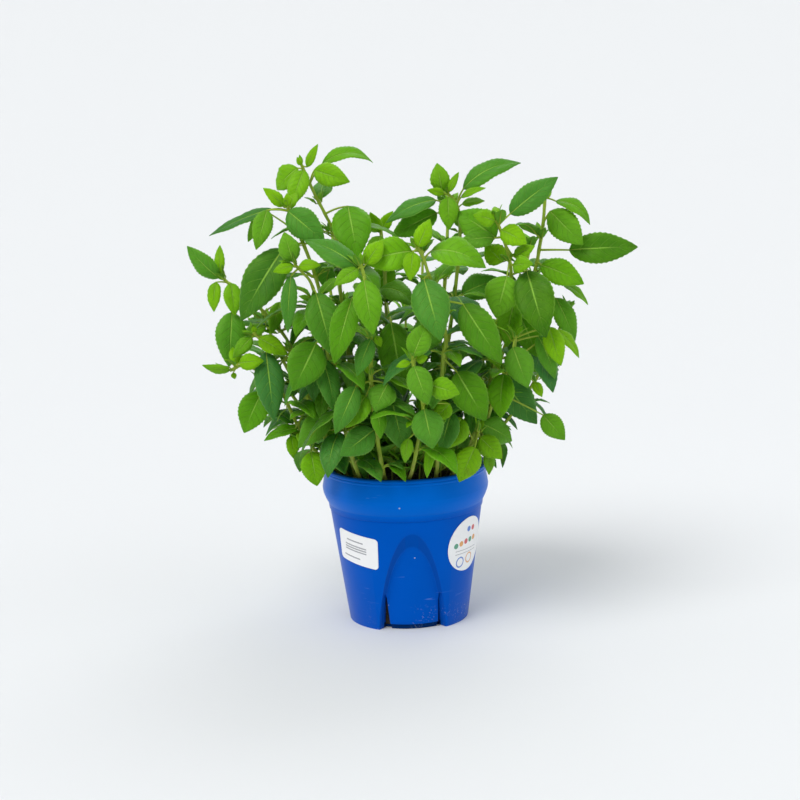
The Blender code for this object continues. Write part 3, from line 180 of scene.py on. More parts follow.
# Stems read from the photograph. Each has its path from the growing tip down, as (x px, y px, depth mm),
# its root in the soil as (x mm, y mm), and its leaves as (path point that it grows from, blade base x px,
# y px, blade tip x px, y px, base and tip depth beyond that point in mm, width mm, roll degrees), and for a
# blade that bows more or less than most also its arch. A roll above 0 turns its upper face upwards.
FRONT_STEMS = (
    ("upper_left_rear", ((302, 166, -34), (310, 184, -33), (316, 197, -32), (325, 214, -30),
                         (337, 242, -26), (341, 298, -20)), (-30, -8), (
        (0, 307, 167, 318, 144, 0, 0, 7, 20), (0, 301, 165, 297, 157, 0, 0, 4, 0),
        (0, 298, 168, 277, 190, 2, 8, 20, 30), (0, 304, 170, 291, 207, -3, -14, 16, 10),
        (1, 314, 170, 350, 182, -3, -12, 18, 0), (1, 322, 164, 373, 163, 4, 14, 15, 50, 0.26),
        (3, 348, 206, 358, 259, -6, -26, 30, 0),
    )),
    ("upper_left_front", ((288, 208, -62), (297, 232, -58), (303, 243, -56), (318, 285, -46),
                          (330, 345, -36)), (-38, -26), (
        (0, 284, 206, 263, 188, 0, -4, 10, 20), (0, 288, 206, 287, 193, 0, 0, 6, 0),
        (0, 272, 209, 209, 236, 2, 10, 15, 60, 0.04), (0, 267, 210, 256, 250, -4, -14, 15, 0),
        (1, 266, 211, 248, 242, 8, 12, 10, 20), (1, 288, 211, 325, 242, -4, -12, 23, 0),
        (2, 283, 249, 241, 321, -10, -20, 30, 12),
    )),
    ("left_front", ((296, 266, -88), (302, 272, -87), (313, 288, -84), (324, 338, -72),
                    (338, 400, -58)), (-34, -42), (
        (0, 293, 262, 284, 232, 0, 4, 16, 0), (0, 293, 266, 273, 272, 0, -4, 9, 20),
        (0, 299, 266, 321, 265, 0, -4, 9, 20), (0, 291, 276, 288, 333, -6, -14, 12, 10),
        (2, 316, 293, 333, 356, -4, -16, 25, 0), (3, 316, 343, 293, 391, -4, -14, 29, 0),
        (3, 322, 358, 334, 412, 3, -6, 19, 20),
    )),
    ("front_left", ((361, 266, -102), (364, 276, -101), (369, 300, -98), (372, 337, -92),
                    (371, 381, -82), (376, 430, -68)), (-15, -48), (
        (0, 358, 268, 304, 240, 2, 10, 22, 40), (0, 358, 269, 334, 286, 0, -6, 12, 20),
        (0, 366, 264, 383, 240, 0, 4, 14, 10), (1, 364, 280, 373, 335, -6, -16, 21, 0),
        (2, 352, 298, 334, 364, -4, -14, 20, 5), (3, 371, 339, 357, 376, -4, -12, 14, 10),
        (3, 376, 336, 381, 347, -2, -4, 6, 10), (4, 356, 386, 335, 434, -8, -20, 18, 0),
        (4, 388, 384, 375, 412, -8, -16, 22, 20), (4, 366, 396, 346, 428, -4, -10, 22, 20),
        (4, 391, 397, 404, 451, 6, 0, 25, 0), (5, 374, 430, 340, 456, -12, -24, 22, 0),
    )),
    ("front_middle", ((413, 360, -110), (415, 372, -108), (423, 404, -98), (420, 430, -84)), (2, -50), (
        (0, 413, 356, 427, 322, 0, 4, 18, 0), (0, 416, 360, 428, 357, 0, -3, 7, 0),
        (0, 410, 362, 396, 367, 0, -3, 6, 20), (0, 414, 366, 428, 405, -4, -10, 19, 0),
        (1, 431, 385, 460, 394, -3, -10, 17, 0), (2, 424, 409, 433, 449, -5, -12, 24, 0),
        (2, 450, 404, 434, 420, 6, 4, 14, 10), (3, 437, 442, 427, 478, 4, 2, 11, 40),
        (3, 409, 438, 405, 463, -3, -3, 10, 20),
    )),
    ("middle_front", ((418, 248, -96), (424, 260, -95), (429, 275, -93), (440, 301, -86),
                      (446, 340, -80), (443, 358, -77), (439, 420, -64)), (23, -46), (
        (0, 418, 247, 430, 219, 0, 4, 13, 0), (0, 413, 252, 410, 281, -2, -8, 13, 0),
        (0, 412, 251, 363, 262, 2, -4, 26, 15), (1, 431, 251, 486, 268, 2, -6, 27, 38, 0.18),
        (2, 424, 279, 441, 341, -6, -18, 28, 0), (3, 463, 304, 502, 364, -4, -16, 25, 0),
        (4, 440, 318, 414, 351, 4, 8, 24, 10), (5, 457, 372, 486, 421, -6, -14, 27, 0),
        (6, 452, 412, 440, 455, 2, -4, 20, 10),
    )),
    ("middle_rear", ((448, 194, -38), (457, 206, -36), (460, 235, -30), (454, 300, -22)), (14, -12), (
        (0, 442, 191, 437, 163, 0, 2, 15, 0), (0, 449, 192, 459, 172, 0, 4, 6, 20),
        (0, 444, 193, 427, 190, 0, -3, 6, 0), (0, 448, 197, 449, 230, -4, -10, 15, 0),
        (1, 463, 189, 521, 163, 2, 8, 20, 42, 0.17), (1, 461, 197, 486, 188, -2, -10, 7, 40),
        (1, 462, 204, 485, 201, 3, 2, 10, 50), (1, 436, 200, 386, 223, 0, 2, 20, 52),
        (1, 437, 213, 392, 236, 6, 12, 20, 10), (3, 462, 294, 501, 279, 6, 10, 22, 20),
    )),
    ("right_front", ((497, 222, -58), (503, 237, -57), (509, 258, -55), (511, 275, -52),
                     (508, 310, -44), (497, 352, -38), (488, 390, -32)), (38, -28), (
        (0, 495, 221, 473, 215, 0, -4, 14, 20), (0, 501, 230, 527, 244, -3, -8, 17, 15),
        (0, 510, 214, 558, 177, 2, 8, 20, 10), (1, 496, 238, 457, 212, 8, 14, 27, 10),
        (1, 494, 238, 458, 243, 2, 2, 16, 30), (1, 514, 257, 535, 246, -2, -6, 11, 20),
        (2, 513, 266, 533, 264, -6, -12, 14, 20), (2, 503, 262, 485, 245, 14, 18, 18, 0),
        (2, 507, 276, 496, 318, -8, -16, 27, 0), (3, 527, 271, 546, 338, -10, -24, 30, 0),
        (4, 514, 304, 507, 347, 2, -4, 20, 20), (4, 521, 318, 537, 357, -2, -10, 20, 10),
        (5, 498, 375, 537, 424, -10, -20, 27, 0),
    )),
    ("right", ((545, 198, -32), (543, 225, -31), (539, 250, -30), (537, 262, -29), (528, 300, -24),
               (516, 350, -16)), (40, -4), (
        (0, 545, 198, 551, 187, 0, 0, 6, 10), (0, 556, 201, 590, 225, 0, -2, 14, 45, 0.24),
        (1, 550, 211, 583, 245, -3, -10, 23, 0), (2, 569, 250, 638, 247, 0, 0, 24, 6),
        (3, 541, 265, 584, 284, -3, -8, 21, 15), (3, 563, 284, 588, 305, 4, 4, 12, 60),
        (4, 556, 298, 575, 341, 4, 2, 17, 10),
    )),
    ("lower_right", ((515, 338, -66), (512, 362, -62), (496, 392, -54)), (46, -18), (
        (0, 513, 347, 528, 388, -6, -14, 22, 0), (0, 549, 327, 561, 366, 0, -6, 16, 0),
        (0, 538, 336, 555, 379, 6, 4, 15, 20), (1, 557, 330, 579, 358, 10, 12, 12, 50),
        (1, 534, 382, 542, 397, 2, 0, 8, 20), (2, 543, 415, 565, 440, 4, 0, 17, 0),
        (2, 504, 374, 501, 418, 8, 10, 22, 20),
    )),
    ("rim_right", ((478, 432, -60), (474, 443, -59), (462, 452, -54)), (33, -42), (
        (0, 475, 447, 459, 482, -10, -12, 20, 0), (0, 480, 437, 502, 459, -2, -6, 17, 0),
        (0, 482, 424, 512, 441, 4, 2, 22, 20), (0, 487, 450, 489, 475, 2, 0, 10, 30),
        (1, 462, 418, 446, 449, -3, -8, 22, 10),
    )),
    ("left", ((225, 280, -26), (238, 292, -26), (264, 312, -24), (290, 345, -20)), (-48, 4), (
        (0, 219, 278, 187, 246, 0, 4, 16, -18), (0, 220, 274, 220, 245, 0, 2, 8, 10),
        (0, 216, 282, 214, 312, -2, -6, 11, 20), (0, 231, 283, 235, 316, -4, -10, 14, 0),
        (1, 232, 312, 229, 367, -2, -10, 24, 0), (2, 280, 302, 271, 334, 0, -4, 12, 0),
        (2, 266, 326, 240, 340, 2, -2, 14, 40),
    )),
    ("lower_left", ((255, 334, -48), (268, 345, -47), (290, 352, -44), (308, 400, -38)), (-44, -24), (
        (0, 252, 337, 233, 358, -2, -6, 11, 10), (0, 259, 338, 287, 355, -3, -8, 14, 10),
        (0, 255, 332, 253, 326, 0, 0, 4, 0), (1, 266, 352, 274, 421, -4, -14, 23, 0),
        (2, 262, 392, 244, 433, 8, 4, 24, 10), (3, 329, 411, 298, 448, -12, -20, 20, 0),
        (3, 298, 428, 264, 441, 4, 4, 12, 45), (3, 291, 436, 293, 458, -2, -4, 11, 20),
        (3, 311, 452, 317, 486, -10, -12, 20, 0),
    )),
    ("far_left", ((232, 370, -56), (246, 366, -54), (276, 384, -46), (300, 430, -34)), (-50, -12), (
        (0, 230, 370, 202, 365, 0, -2, 8, -30), (0, 239, 363, 264, 361, -2, -4, 13, 10),
        (0, 233, 373, 235, 379, 0, 0, 4, 0),
    )),
    ("centre_rear", ((381, 232, 22), (384, 260, 20), (386, 300, 12)), (-6, 14), (
        (0, 378, 232, 370, 212, 0, -4, 12, 0), (0, 382, 230, 393, 211, 0, -4, 10, 10),
        (0, 381, 236, 372, 262, -4, -10, 16, 10), (1, 392, 266, 372, 290, 2, -4, 20, 0),
        (2, 380, 289, 414, 307, -6, -10, 24, 45, 0.25), (2, 391, 322, 404, 396, -60, -68, 28, 0),
    )),
)

# Stems behind, as (bearing degrees, tip distance from the axis mm, tip height mm, root distance mm)
BACK_STEMS = (
    (2, 128, 238, 42), (22, 112, 285, 36), (46, 118, 232, 44), (52, 66, 318, 24), (78, 96, 280, 34),
    (88, 132, 226, 46), (104, 52, 330, 18), (124, 104, 262, 38), (138, 70, 300, 26), (150, 134, 224, 44),
    (166, 118, 262, 34),
)

# How finely the finished pot is divided
POT_STEPS = 144
ARCH_COLUMNS = 16
ARCH_ROWS = 14
POT_BEVEL = 0.3 * MM

# Two fine beads at the rim, as (drop below the rim, inwards from the bead's radius)
RIM_BEADS = ((0.5 * MM, 0.3 * MM), (1.4 * MM, 0.0), (2.3 * MM, 0.0), (2.9 * MM, 0.45 * MM),
             (3.5 * MM, 0.1 * MM), (4.3 * MM, 0.1 * MM), (5.2 * MM, 0.5 * MM))

# Finished leaves, small ones that fill gaps, and young shoots (their reach from the axis in mm)
FINE_BLADE = 0.36 * MM
TOOTH_DEPTH = 0.65 * MM
FOLD = 0.24
MARGIN_WAVE = 0.07
QUILTING = 0.75 * MM
TIP_POINT = 0.30
VEIN_PAIRS = 7.0
VEIN_LEAN = 0.26
SMALL_LEAF = 24 * MM
FILL_ROUNDS = 2
FILL_SIZES = (0.42, 0.70)
SHOOT_COUNT = 16
SHOOT_FRONT = (-2.95, -0.2)
SHOOT_REAR = (0.0, math.pi)
SHOOT_REACH = (16, 50)
SHOOT_HEIGHTS = (16 * MM, 44 * MM)
SHOOT_LEAN = 16 * MM

# Tufts of tiny new leaves, as (leaves, least and most length mm, how far they lean out)
TIP_TUFT = (4, 7.0, 12.0, 0.55)
JOINT_TUFT = (2, 8.0, 14.0, 0.8)
TUFT_WIDTH = 0.42
TUFT_ARCH = 0.10

# How a stem swells where leaves grow, and how its leaf stalks bow and run on under the blades
JOINT_LEAST = 0.92
JOINT_SWELLING = 0.16
JOINT_REACH = 3 * MM
STALK_BOW = 0.08
MIDRIB_DROP = 0.25 * MM

# How a blade curls and waves across its half width, where its side veins bow, and the half widths at which
# its quilting and its teeth are full
CURL_POWER = 2.6
CURL_LEAST = 0.12
CURL_SPREAD = 0.24
WAVE_TURN = 13.0
WAVE_SPREAD = 40.0
WAVE_SKEW = 1.4
VEIN_BOW = 1.2
TIP_POINT_POWER = 3.0
FULL_QUILTING_HALF = 8 * MM
FULL_TOOTH_HALF = 9 * MM
LEAST_HALF = (0.35 * MM, 0.08 * MM)
MARGIN_THINNING = 0.6

# How dark a leaf is by its size and by its distance from the growing tip, and the painted shade on the leaves
# of the stems behind
OLD_LENGTH = 54 * MM
OLD_REACH = 140 * MM
SIZE_TONE = 0.88
SIZE_POWER = 1.6
AGE_TONE = 0.42
YOUNG_TONE = 0.12
REAR_PAINTED_SHADE = 0.22
TONE_SPREAD = 0.18

# Colours, as seen in soft white light
YOUNG_GREEN = (0.235, 0.545, 0.000, 1.0)
LEAF_GREEN = (0.088, 0.325, 0.002, 1.0)
DARK_GREEN = (0.018, 0.108, 0.002, 1.0)
BLUISH_GREEN = (0.030, 0.170, 0.042, 1.0)
WORN_BROWN = (0.17, 0.13, 0.03, 1.0)
VEIN_GREEN = (0.29, 0.58, 0.07, 1.0)
UNDERSIDE_GREEN = (0.15, 0.38, 0.04, 1.0)
STEM_GREEN = (0.30, 0.40, 0.02, 1.0)
STEM_TAN = (0.21, 0.17, 0.04, 1.0)
POT_BLUE = (0.0, 0.092, 0.54, 1.0)
CLOUD_BLUE = (0.0, 0.080, 0.46, 1.0)
# Painted light: a lighter blue for the collar
COLLAR_PAINTED_LIGHT_BLUE = (0.0, 0.150, 0.68, 1.0)
# Painted shade: a darker blue for the arches' sloping bands
BAND_PAINTED_SHADE_BLUE = (0.0, 0.040, 0.27, 1.0)
# Painted shade: a near-black blue for the low gaps under the panels
GAP_PAINTED_SHADE_BLUE = (0.0, 0.012, 0.06, 1.0)
POT_SCUFF = (0.30, 0.45, 0.80, 1.0)
DRY_DIRT = (0.58, 0.58, 0.60, 1.0)
SOIL_BROWN = (0.080, 0.066, 0.040, 1.0)
SOIL_DEEP = (0.030, 0.024, 0.015, 1.0)
SOIL_PALE = (0.22, 0.16, 0.09, 1.0)
PERLITE_WHITE = (0.70, 0.68, 0.62, 1.0)
STICKER_WHITE = (0.95, 0.95, 0.95, 1.0)
PAPER_SHADE = (0.86, 0.87, 0.90, 1.0)
PRINT_GREY = (0.22, 0.23, 0.26, 1.0)
INK_BLUE = (0.02, 0.16, 0.60, 1.0)
INK_GREEN = (0.03, 0.30, 0.16, 1.0)
INK_ORANGE = (0.75, 0.33, 0.05, 1.0)
INK_RED = (0.62, 0.05, 0.05, 1.0)
FLOOR_WHITE = (0.735, 0.75, 0.765, 1.0)

# Print on the stickers, in mm from the sticker's middle: lines as (left, right, low), and dots and rings as
# (across, up, ink)
PRICE_LINES = ((-10, 7, 5.6), (-12, 10, 1.6), (-12, 10, -0.4), (-12, 10, -2.4), (-14, 4, -8.0))
LABEL_DOTS = (
    (-0.5, 12.0, INK_BLUE), (5.5, 12.0, INK_RED), (-14.0, 0.5, INK_GREEN), (-8.5, 1.5, INK_ORANGE),
    (-3.0, 2.5, INK_RED), (2.5, 3.0, INK_GREEN), (8.0, 3.5, INK_ORANGE),
)
LABEL_RINGS = ((-8.0, -13.5, INK_BLUE), (3.0, -12.0, INK_ORANGE))


# Node trees

class Signal:
    """What a node's output gives. Sums, products and comparisons of signals add maths nodes to their tree."""

    def __init__(self, tree, socket):
        self.tree = tree
        self.socket = socket

    def __add__(self, other):
        return maths("ADD", self, other)

    def __sub__(self, other):
        return maths("SUBTRACT", self, other)

    def __rsub__(self, other):
        return maths("SUBTRACT", other, self)

    def __mul__(self, other):
        return maths("MULTIPLY", self, other)

    def __truediv__(self, other):
        return maths("DIVIDE", self, other)

    def __pow__(self, other):
        return maths("POWER", self, other)

    def __abs__(self):
        return maths("ABSOLUTE", self)

    def __lt__(self, other):
        return maths("LESS_THAN", self, other)

    def __gt__(self, other):
        return maths("GREATER_THAN", self, other)

    def times_plus(self, factor, addend):
        return maths("MULTIPLY_ADD", self, factor, addend)


class MadeNode:
    """A node of a tree. Its outputs are taken by name or number, as signals."""

    def __init__(self, tree, node):
        self.tree = tree
        self.node = node

    def __getitem__(self, key):
        return Signal(self.tree, self.node.outputs[key])


def wire(tree, sockets, values):
    """Fills sockets by name or number: a signal is linked, and any other value is set."""
    for key, value in values.items():
        if isinstance(value, Signal):
            tree.links.new(value.socket, sockets[key])
        else:
            sockets[key].default_value = value


def put(tree, kind, inputs=None, **settings):
    """A new node with its settings and its filled inputs."""
    node = tree.nodes.new(kind)
    for name, value in settings.items():
        setattr(node, name, value)
    wire(tree, node.inputs, inputs or {})
    return MadeNode(tree, node)


def tree_of(values):
    return next(value.tree for value in values if isinstance(value, Signal))


def maths(operation, *values):
    return put(tree_of(values), "ShaderNodeMath", dict(enumerate(values)), operation=operation)[0]


def vector_maths(operation, *values):
    node = put(tree_of(values), "ShaderNodeVectorMath", dict(enumerate(values)), operation=operation)
    return node["Vector"]


def scaled(vector, factor):
    return put(vector.tree, "ShaderNodeVectorMath", {0: vector, "Scale": factor}, operation="SCALE")["Vector"]


def split(vector):
    return put(vector.tree, "ShaderNodeSeparateXYZ", {0: vector})


def ramp(value, low, high, start=0.0, end=1.0):
    """A smooth step from start to end while the value goes from low to high."""
    limits = {"Value": value, "From Min": low, "From Max": high, "To Min": start, "To Max": end}
    return put(value.tree, "ShaderNodeMapRange", limits, interpolation_type="SMOOTHSTEP")["Result"]


def blended(share, first, second):
    """Two colours mixed by the share of the second."""
    return put(share.tree, "ShaderNodeMix", {0: share, 6: first, 7: second}, data_type="RGBA")[2]


def new_tree(name, kind, inputs, outputs):
    """A node group, by its inputs (name, kind, value) and outputs (name, kind): its tree and its two ends."""
    tree = bpy.data.node_groups.new(name, kind)
    for label, socket, value in inputs:
        made = tree.interface.new_socket(label, in_out="INPUT", socket_type="NodeSocket" + socket)
        if value is not None:
            made.default_value = value
    for label, socket in outputs:
        tree.interface.new_socket(label, in_out="OUTPUT", socket_type="NodeSocket" + socket)
    return tree, put(tree, "NodeGroupInput"), put(tree, "NodeGroupOutput").node.inputs


def attribute(tree, name):
    """A named attribute of the mesh, in a shader tree."""
    return put(tree, "ShaderNodeAttribute", attribute_name=name)["Fac"]


def carried(tree, name, kind="FLOAT"):
    """A named attribute of the mesh, in a geometry tree."""
    return put(tree, "GeometryNodeInputNamedAttribute", {"Name": name}, data_type=kind)["Attribute"]


def joined(parts):
    """Several geometries as one."""
    join = put(parts[0].tree, "GeometryNodeJoinGeometry")
    for part in parts:
        wire(join.tree, join.node.inputs, {0: part})
    return join[0]


def realized(geometry):
    return put(geometry.tree, "GeometryNodeRealizeInstances", {"Geometry": geometry})[0]


def coated(geometry, finish):
    return put(geometry.tree, "GeometryNodeSetMaterial", {"Geometry": geometry, "Material": finish})[0]


def form_of(given, label):
    """The geometry of an object that a group takes in."""
    return put(given.tree, "GeometryNodeObjectInfo", {"Object": given[label]})["Geometry"]


# Mesh helpers

def closed_sheet(columns, rows):
    """Faces of a thin closed sheet. Its points run row by row over its front, and then over its back."""
    span = columns + 1
    back = span * (rows + 1)
    faces = []
    for left in range(0, rows * span, span):
        right = left + columns
        for a in range(left, right):
            faces.append((a, a + 1, a + span + 1, a + span))
            faces.append((back + a, back + a + span, back + a + span + 1, back + a + 1))
        faces.append((left, left + span, back + left + span, back + left))
        faces.append((right + span, right, back + right, back + right + span))
    for low in range(columns):
        top = rows * span + low
        faces.append((low + 1, low, back + low, back + low + 1))
        faces.append((top, top + 1, back + top + 1, back + top))
    return faces


def mesh_object(name, verts, faces, edges=()):
    mesh = bpy.data.meshes.new(name)
    mesh.from_pydata(verts, edges, faces)
    mesh.update()
    obj = bpy.data.objects.new(name, mesh)
    bpy.context.scene.collection.objects.link(obj)
    return obj


def cut(obj, cutter):
    modifier = obj.modifiers.new("Cut", "BOOLEAN")
    modifier.operation = "DIFFERENCE"
    modifier.solver = "EXACT"
    modifier.object = cutter


def turned(name, profile, steps):
    """A solid turned from a profile that runs down its outer side, from the axis to the axis."""
    edges = [(i, i + 1) for i in range(len(profile) - 1)]
    obj = mesh_object(name, [(r, 0, z) for r, z in profile], [], edges)
    screw = obj.modifiers.new("Turn", "SCREW")
    screw.steps = steps
    screw.render_steps = steps
    screw.use_merge_vertices = True
    screw.merge_threshold = 0.00001
    return obj


def made_plain(obj, name):
    """The object's evaluated shape as a plain mesh object at the origin. The first object is removed."""
    depsgraph = bpy.context.evaluated_depsgraph_get()
    mesh = bpy.data.meshes.new_from_object(obj.evaluated_get(depsgraph))
    bpy.data.objects.remove(obj)
    mesh.name = name
    plain = bpy.data.objects.new(name, mesh)
    bpy.context.scene.collection.objects.link(plain)
    return plain


def tidy_mesh(mesh, distance):
    """Merges doubles and turns the faces outwards."""
    bm = bmesh.new()
    bm.from_mesh(mesh)
    bmesh.ops.remove_doubles(bm, verts=bm.verts, dist=distance)
    bmesh.ops.dissolve_degenerate(bm, edges=bm.edges, dist=distance)
    bmesh.ops.recalc_face_normals(bm, faces=bm.faces)
    bm.to_mesh(mesh)
    bm.free()


# Pot shapes

def body_radius(z):
    """Outer radius of the pot's tapered body at a height."""
    return BASE_RADIUS + (NECK_RADIUS - NECK_STEP - BASE_RADIUS) * z / COLLAR_FOOT


def on_body(turn, along, z, offset):
    """A point on the body's wall: turn from the front, arc length along it, height and offset outwards."""
    radius = body_radius(z)
    angle = turn - math.pi / 2 + along / radius
    return Vector(((radius + offset) * math.cos(angle), (radius + offset) * math.sin(angle), z))


def pot_profile():
    """The pot's outer side, from the middle of its mouth to the middle of its underside."""
    rim = [(0, POT_HEIGHT), (RIM_RADIUS, POT_HEIGHT), (BEAD_RADIUS, POT_HEIGHT - BEAD_DROP),
           (BEAD_RADIUS - GROOVE_DEPTH, POT_HEIGHT - GROOVE_DROP), (COLLAR_RADIUS, POT_HEIGHT - COLLAR_DROP)]
    belly = [(COLLAR_RADIUS - inward, COLLAR_FOOT + rise) for inward, rise in COLLAR_BELLY]
    step = body_radius(NECK_STEP_HEIGHT)
    neck = [(NECK_RADIUS, COLLAR_FOOT), (step + NECK_STEP, NECK_STEP_HEIGHT),
            (step, NECK_STEP_HEIGHT - NECK_STEP)]
    return rim + belly + neck + [(BASE_RADIUS, 0), (0, 0)]


def cavity_profile(top):
    """The pot's inside, one wall in from its outer side."""
    mouth = RIM_RADIUS - WALL
    belly_inward, belly_rise = COLLAR_BELLY[0]
    belly = COLLAR_RADIUS - WALL - belly_inward
    neck = body_radius(COLLAR_FOOT) - WALL
    foot = body_radius(FLOOR) - WALL
    return (
        (0, top), (mouth, top), (mouth, SOIL_TOP), (belly, COLLAR_FOOT + belly_rise),
        (neck, COLLAR_FOOT - 1 * MM), (foot, FLOOR), (0, FLOOR),
    )


def arch_half(z, half, height, power):
    """Half width at a height of a tall rounded arch that stands on the pot's foot."""
    return half * math.sqrt(max(0.0, 1 - (max(0.0, z) / height) ** power))


def arch_shares():
    """Shares of an arch's height at which its rows stand, closer together towards its head."""
    return [math.sin(math.pi / 2 * row / ARCH_ROWS) for row in range(ARCH_ROWS)] + [0.999]


def wall_block(name, turn, layers, columns):
    """A block bent round the pot's wall. Each layer is a list of rows (z, left, right, offset)."""
    grids = []
    verts = []
    for layer in layers:
        grids.append([])
        for z, left, right, offset in layer:
            grids[-1].append(range(len(verts), len(verts) + columns + 1))
            for column in range(columns + 1):
                verts.append(on_body(turn, left + (right - left) * column / columns, z, offset))
    faces = []
    outer, inner = grids[0], grids[-1]
    for low, high, low_in, high_in in zip(outer, outer[1:], inner, inner[1:]):
        for k in range(columns):
            faces.append((low[k], low[k + 1], high[k + 1], high[k]))
            faces.append((low_in[k], high_in[k], high_in[k + 1], low_in[k + 1]))
    for front, back in zip(grids, grids[1:]):
        for low in range(len(front) - 1):
            faces.append((front[low][0], front[low + 1][0], back[low + 1][0], back[low][0]))
            faces.append((front[low + 1][-1], front[low][-1], back[low][-1], back[low + 1][-1]))
        for k in range(columns):
            faces.append((front[0][k + 1], front[0][k], back[0][k], back[0][k + 1]))
            faces.append((front[-1][k], front[-1][k + 1], back[-1][k + 1], back[-1][k]))
    obj = mesh_object(name, verts, faces)
    bm = bmesh.new()
    bm.from_mesh(obj.data)
    bmesh.ops.recalc_face_normals(bm, faces=bm.faces)
    bm.to_mesh(obj.data)
    bm.free()
    return obj


def recess(name, turn):
    """The cutter of one arched recess, with the band that slopes from the wall down to its panel."""
    layers = []
    for half, height, power, offset in (
            (ARCH_HALF, ARCH_HEIGHT, ARCH_POWER, CUT_PROUD), (ARCH_HALF, ARCH_HEIGHT, ARCH_POWER, 0.0),
            (PANEL_HALF, PANEL_HEIGHT, PANEL_POWER, -ARCH_DEPTH)):
        rows = [(-CUT_BELOW, -half, half, offset)]
        for share in arch_shares():
            width = arch_half(share * height, half, height, power)
            rows.append((share * height, -width, width, offset))
        layers.append(rows)
    return wall_block(name, turn, layers, ARCH_COLUMNS)


def toe_cut(name, turn):
    """The low gap under one recess's panel."""
    half = PANEL_HALF - TOE_SIDE
    heights = (-2 * CUT_BELOW, TOE_HEIGHT)
    layers = [[(z, -half, half, offset) for z in heights] for offset in (CUT_PROUD, -TOE_DEPTH)]
    return wall_block(name, turn, layers, ARCH_COLUMNS)


def slit(name, turn, side):
    """One tapered opening between a panel and its leg. The left one is wider."""
    width = SLIT_WIDTHS[0 if side < 0 else 1]
    layers = []
    for offset in (CUT_PROUD, -SLIT_DEPTH):
        rows = []
        for z in (-3 * CUT_BELOW, SLIT_HEIGHT):
            outer = arch_half(z, ARCH_HALF, ARCH_HEIGHT, ARCH_POWER) - SLIT_SIDE
            inner = outer - width * (1 - z / SLIT_HEIGHT) - SLIT_TIP
            left, right = sorted((side * outer, side * inner))
            rows.append((z, left, right, offset))
        layers.append(rows)
    return wall_block(name, turn, layers, 1)


def backing(name, turn):
    """The part of the cavity that one recess and its backing take up."""
    rows = [(-4 * CUT_BELOW, ARCH_HALF + WALL)]
    for share in BACKING_SHARES:
        z = share * ARCH_HEIGHT
        rows.append((z, arch_half(z, ARCH_HALF, ARCH_HEIGHT, ARCH_POWER) + WALL))
    rows.append((ARCH_HEIGHT + PANEL_BACKING, BACKING_HEAD * rows[-1][1]))
    offsets = (CUT_PROUD, -ARCH_DEPTH - PANEL_BACKING)
    layers = [[(z, -half, half, offset) for z, half in rows] for offset in offsets]
    return wall_block(name, turn, layers, ARCH_COLUMNS)


def arch_turns():
    return [ARCH_TURN + 2 * math.pi * k / ARCH_COUNT for k in range(ARCH_COUNT)]


# Soil shape

def soil_height(x, y):
    """Height of the soil's crumbly top, which falls a little at its edge."""
    if math.hypot(x, y) > SOIL_RINGS[-1] + 1 * MM:
        return SOIL_TOP - SOIL_EDGE_DROP
    wave = math.sin(x * 210 + 1.3) * math.cos(y * 170 - 0.4) + 0.6 * math.sin(x * 97 - y * 133)
    return SOIL_TOP + SOIL_BUMP * wave


# Reading places off the photograph

def eye_axes():
    forward = Vector((0, math.cos(EYE_PITCH), -math.sin(EYE_PITCH)))
    level = Vector((1, 0, 0))
    upright = Vector((0, math.sin(EYE_PITCH), math.cos(EYE_PITCH)))
    right = level * math.cos(EYE_ROLL) + upright * math.sin(EYE_ROLL)
    up = upright * math.cos(EYE_ROLL) - level * math.sin(EYE_ROLL)
    return forward, right, up


def seen_at(px, py, depth):
    """The point seen at a pixel of the photograph, at a depth (mm) behind the pot's axis."""
    forward, right, up = eye_axes()
    ray = forward + right * ((px - CENTRE_PX) / FOCAL_PX) - up * ((py - CENTRE_PX) / FOCAL_PX)
    return EYE + ray * ((depth * MM - EYE.y) / ray.y)


def pixel_of(point):
    """The pixel of the photograph at which a point is seen."""
    forward, right, up = eye_axes()
    away = point - EYE
    scale = FOCAL_PX / away.dot(forward)
    return CENTRE_PX + away.dot(right) * scale, CENTRE_PX - away.dot(up) * scale


def inside_outline(point):
    px, py = pixel_of(point)
    inside = False
    count = len(FOLIAGE_OUTLINE)
    for k in range(count):
        x0, y0 = FOLIAGE_OUTLINE[k]
        x1, y1 = FOLIAGE_OUTLINE[(k + 1) % count]
        if (y0 > py) != (y1 > py) and px < x0 + (py - y0) * (x1 - x0) / (y1 - y0):
            inside = not inside
    return inside


# Where the leaves are

def compass(bearing):
    """The level direction at a bearing from +X."""
    return Vector((math.cos(bearing), math.sin(bearing), 0))


def upward(height):
    return Vector((0, 0, height))


def bowed(start, middle, end, t):
    """A place on the curve that bows from start to end towards middle."""
    return start * (1 - t) ** 2 + middle * 2 * t * (1 - t) + end * t * t


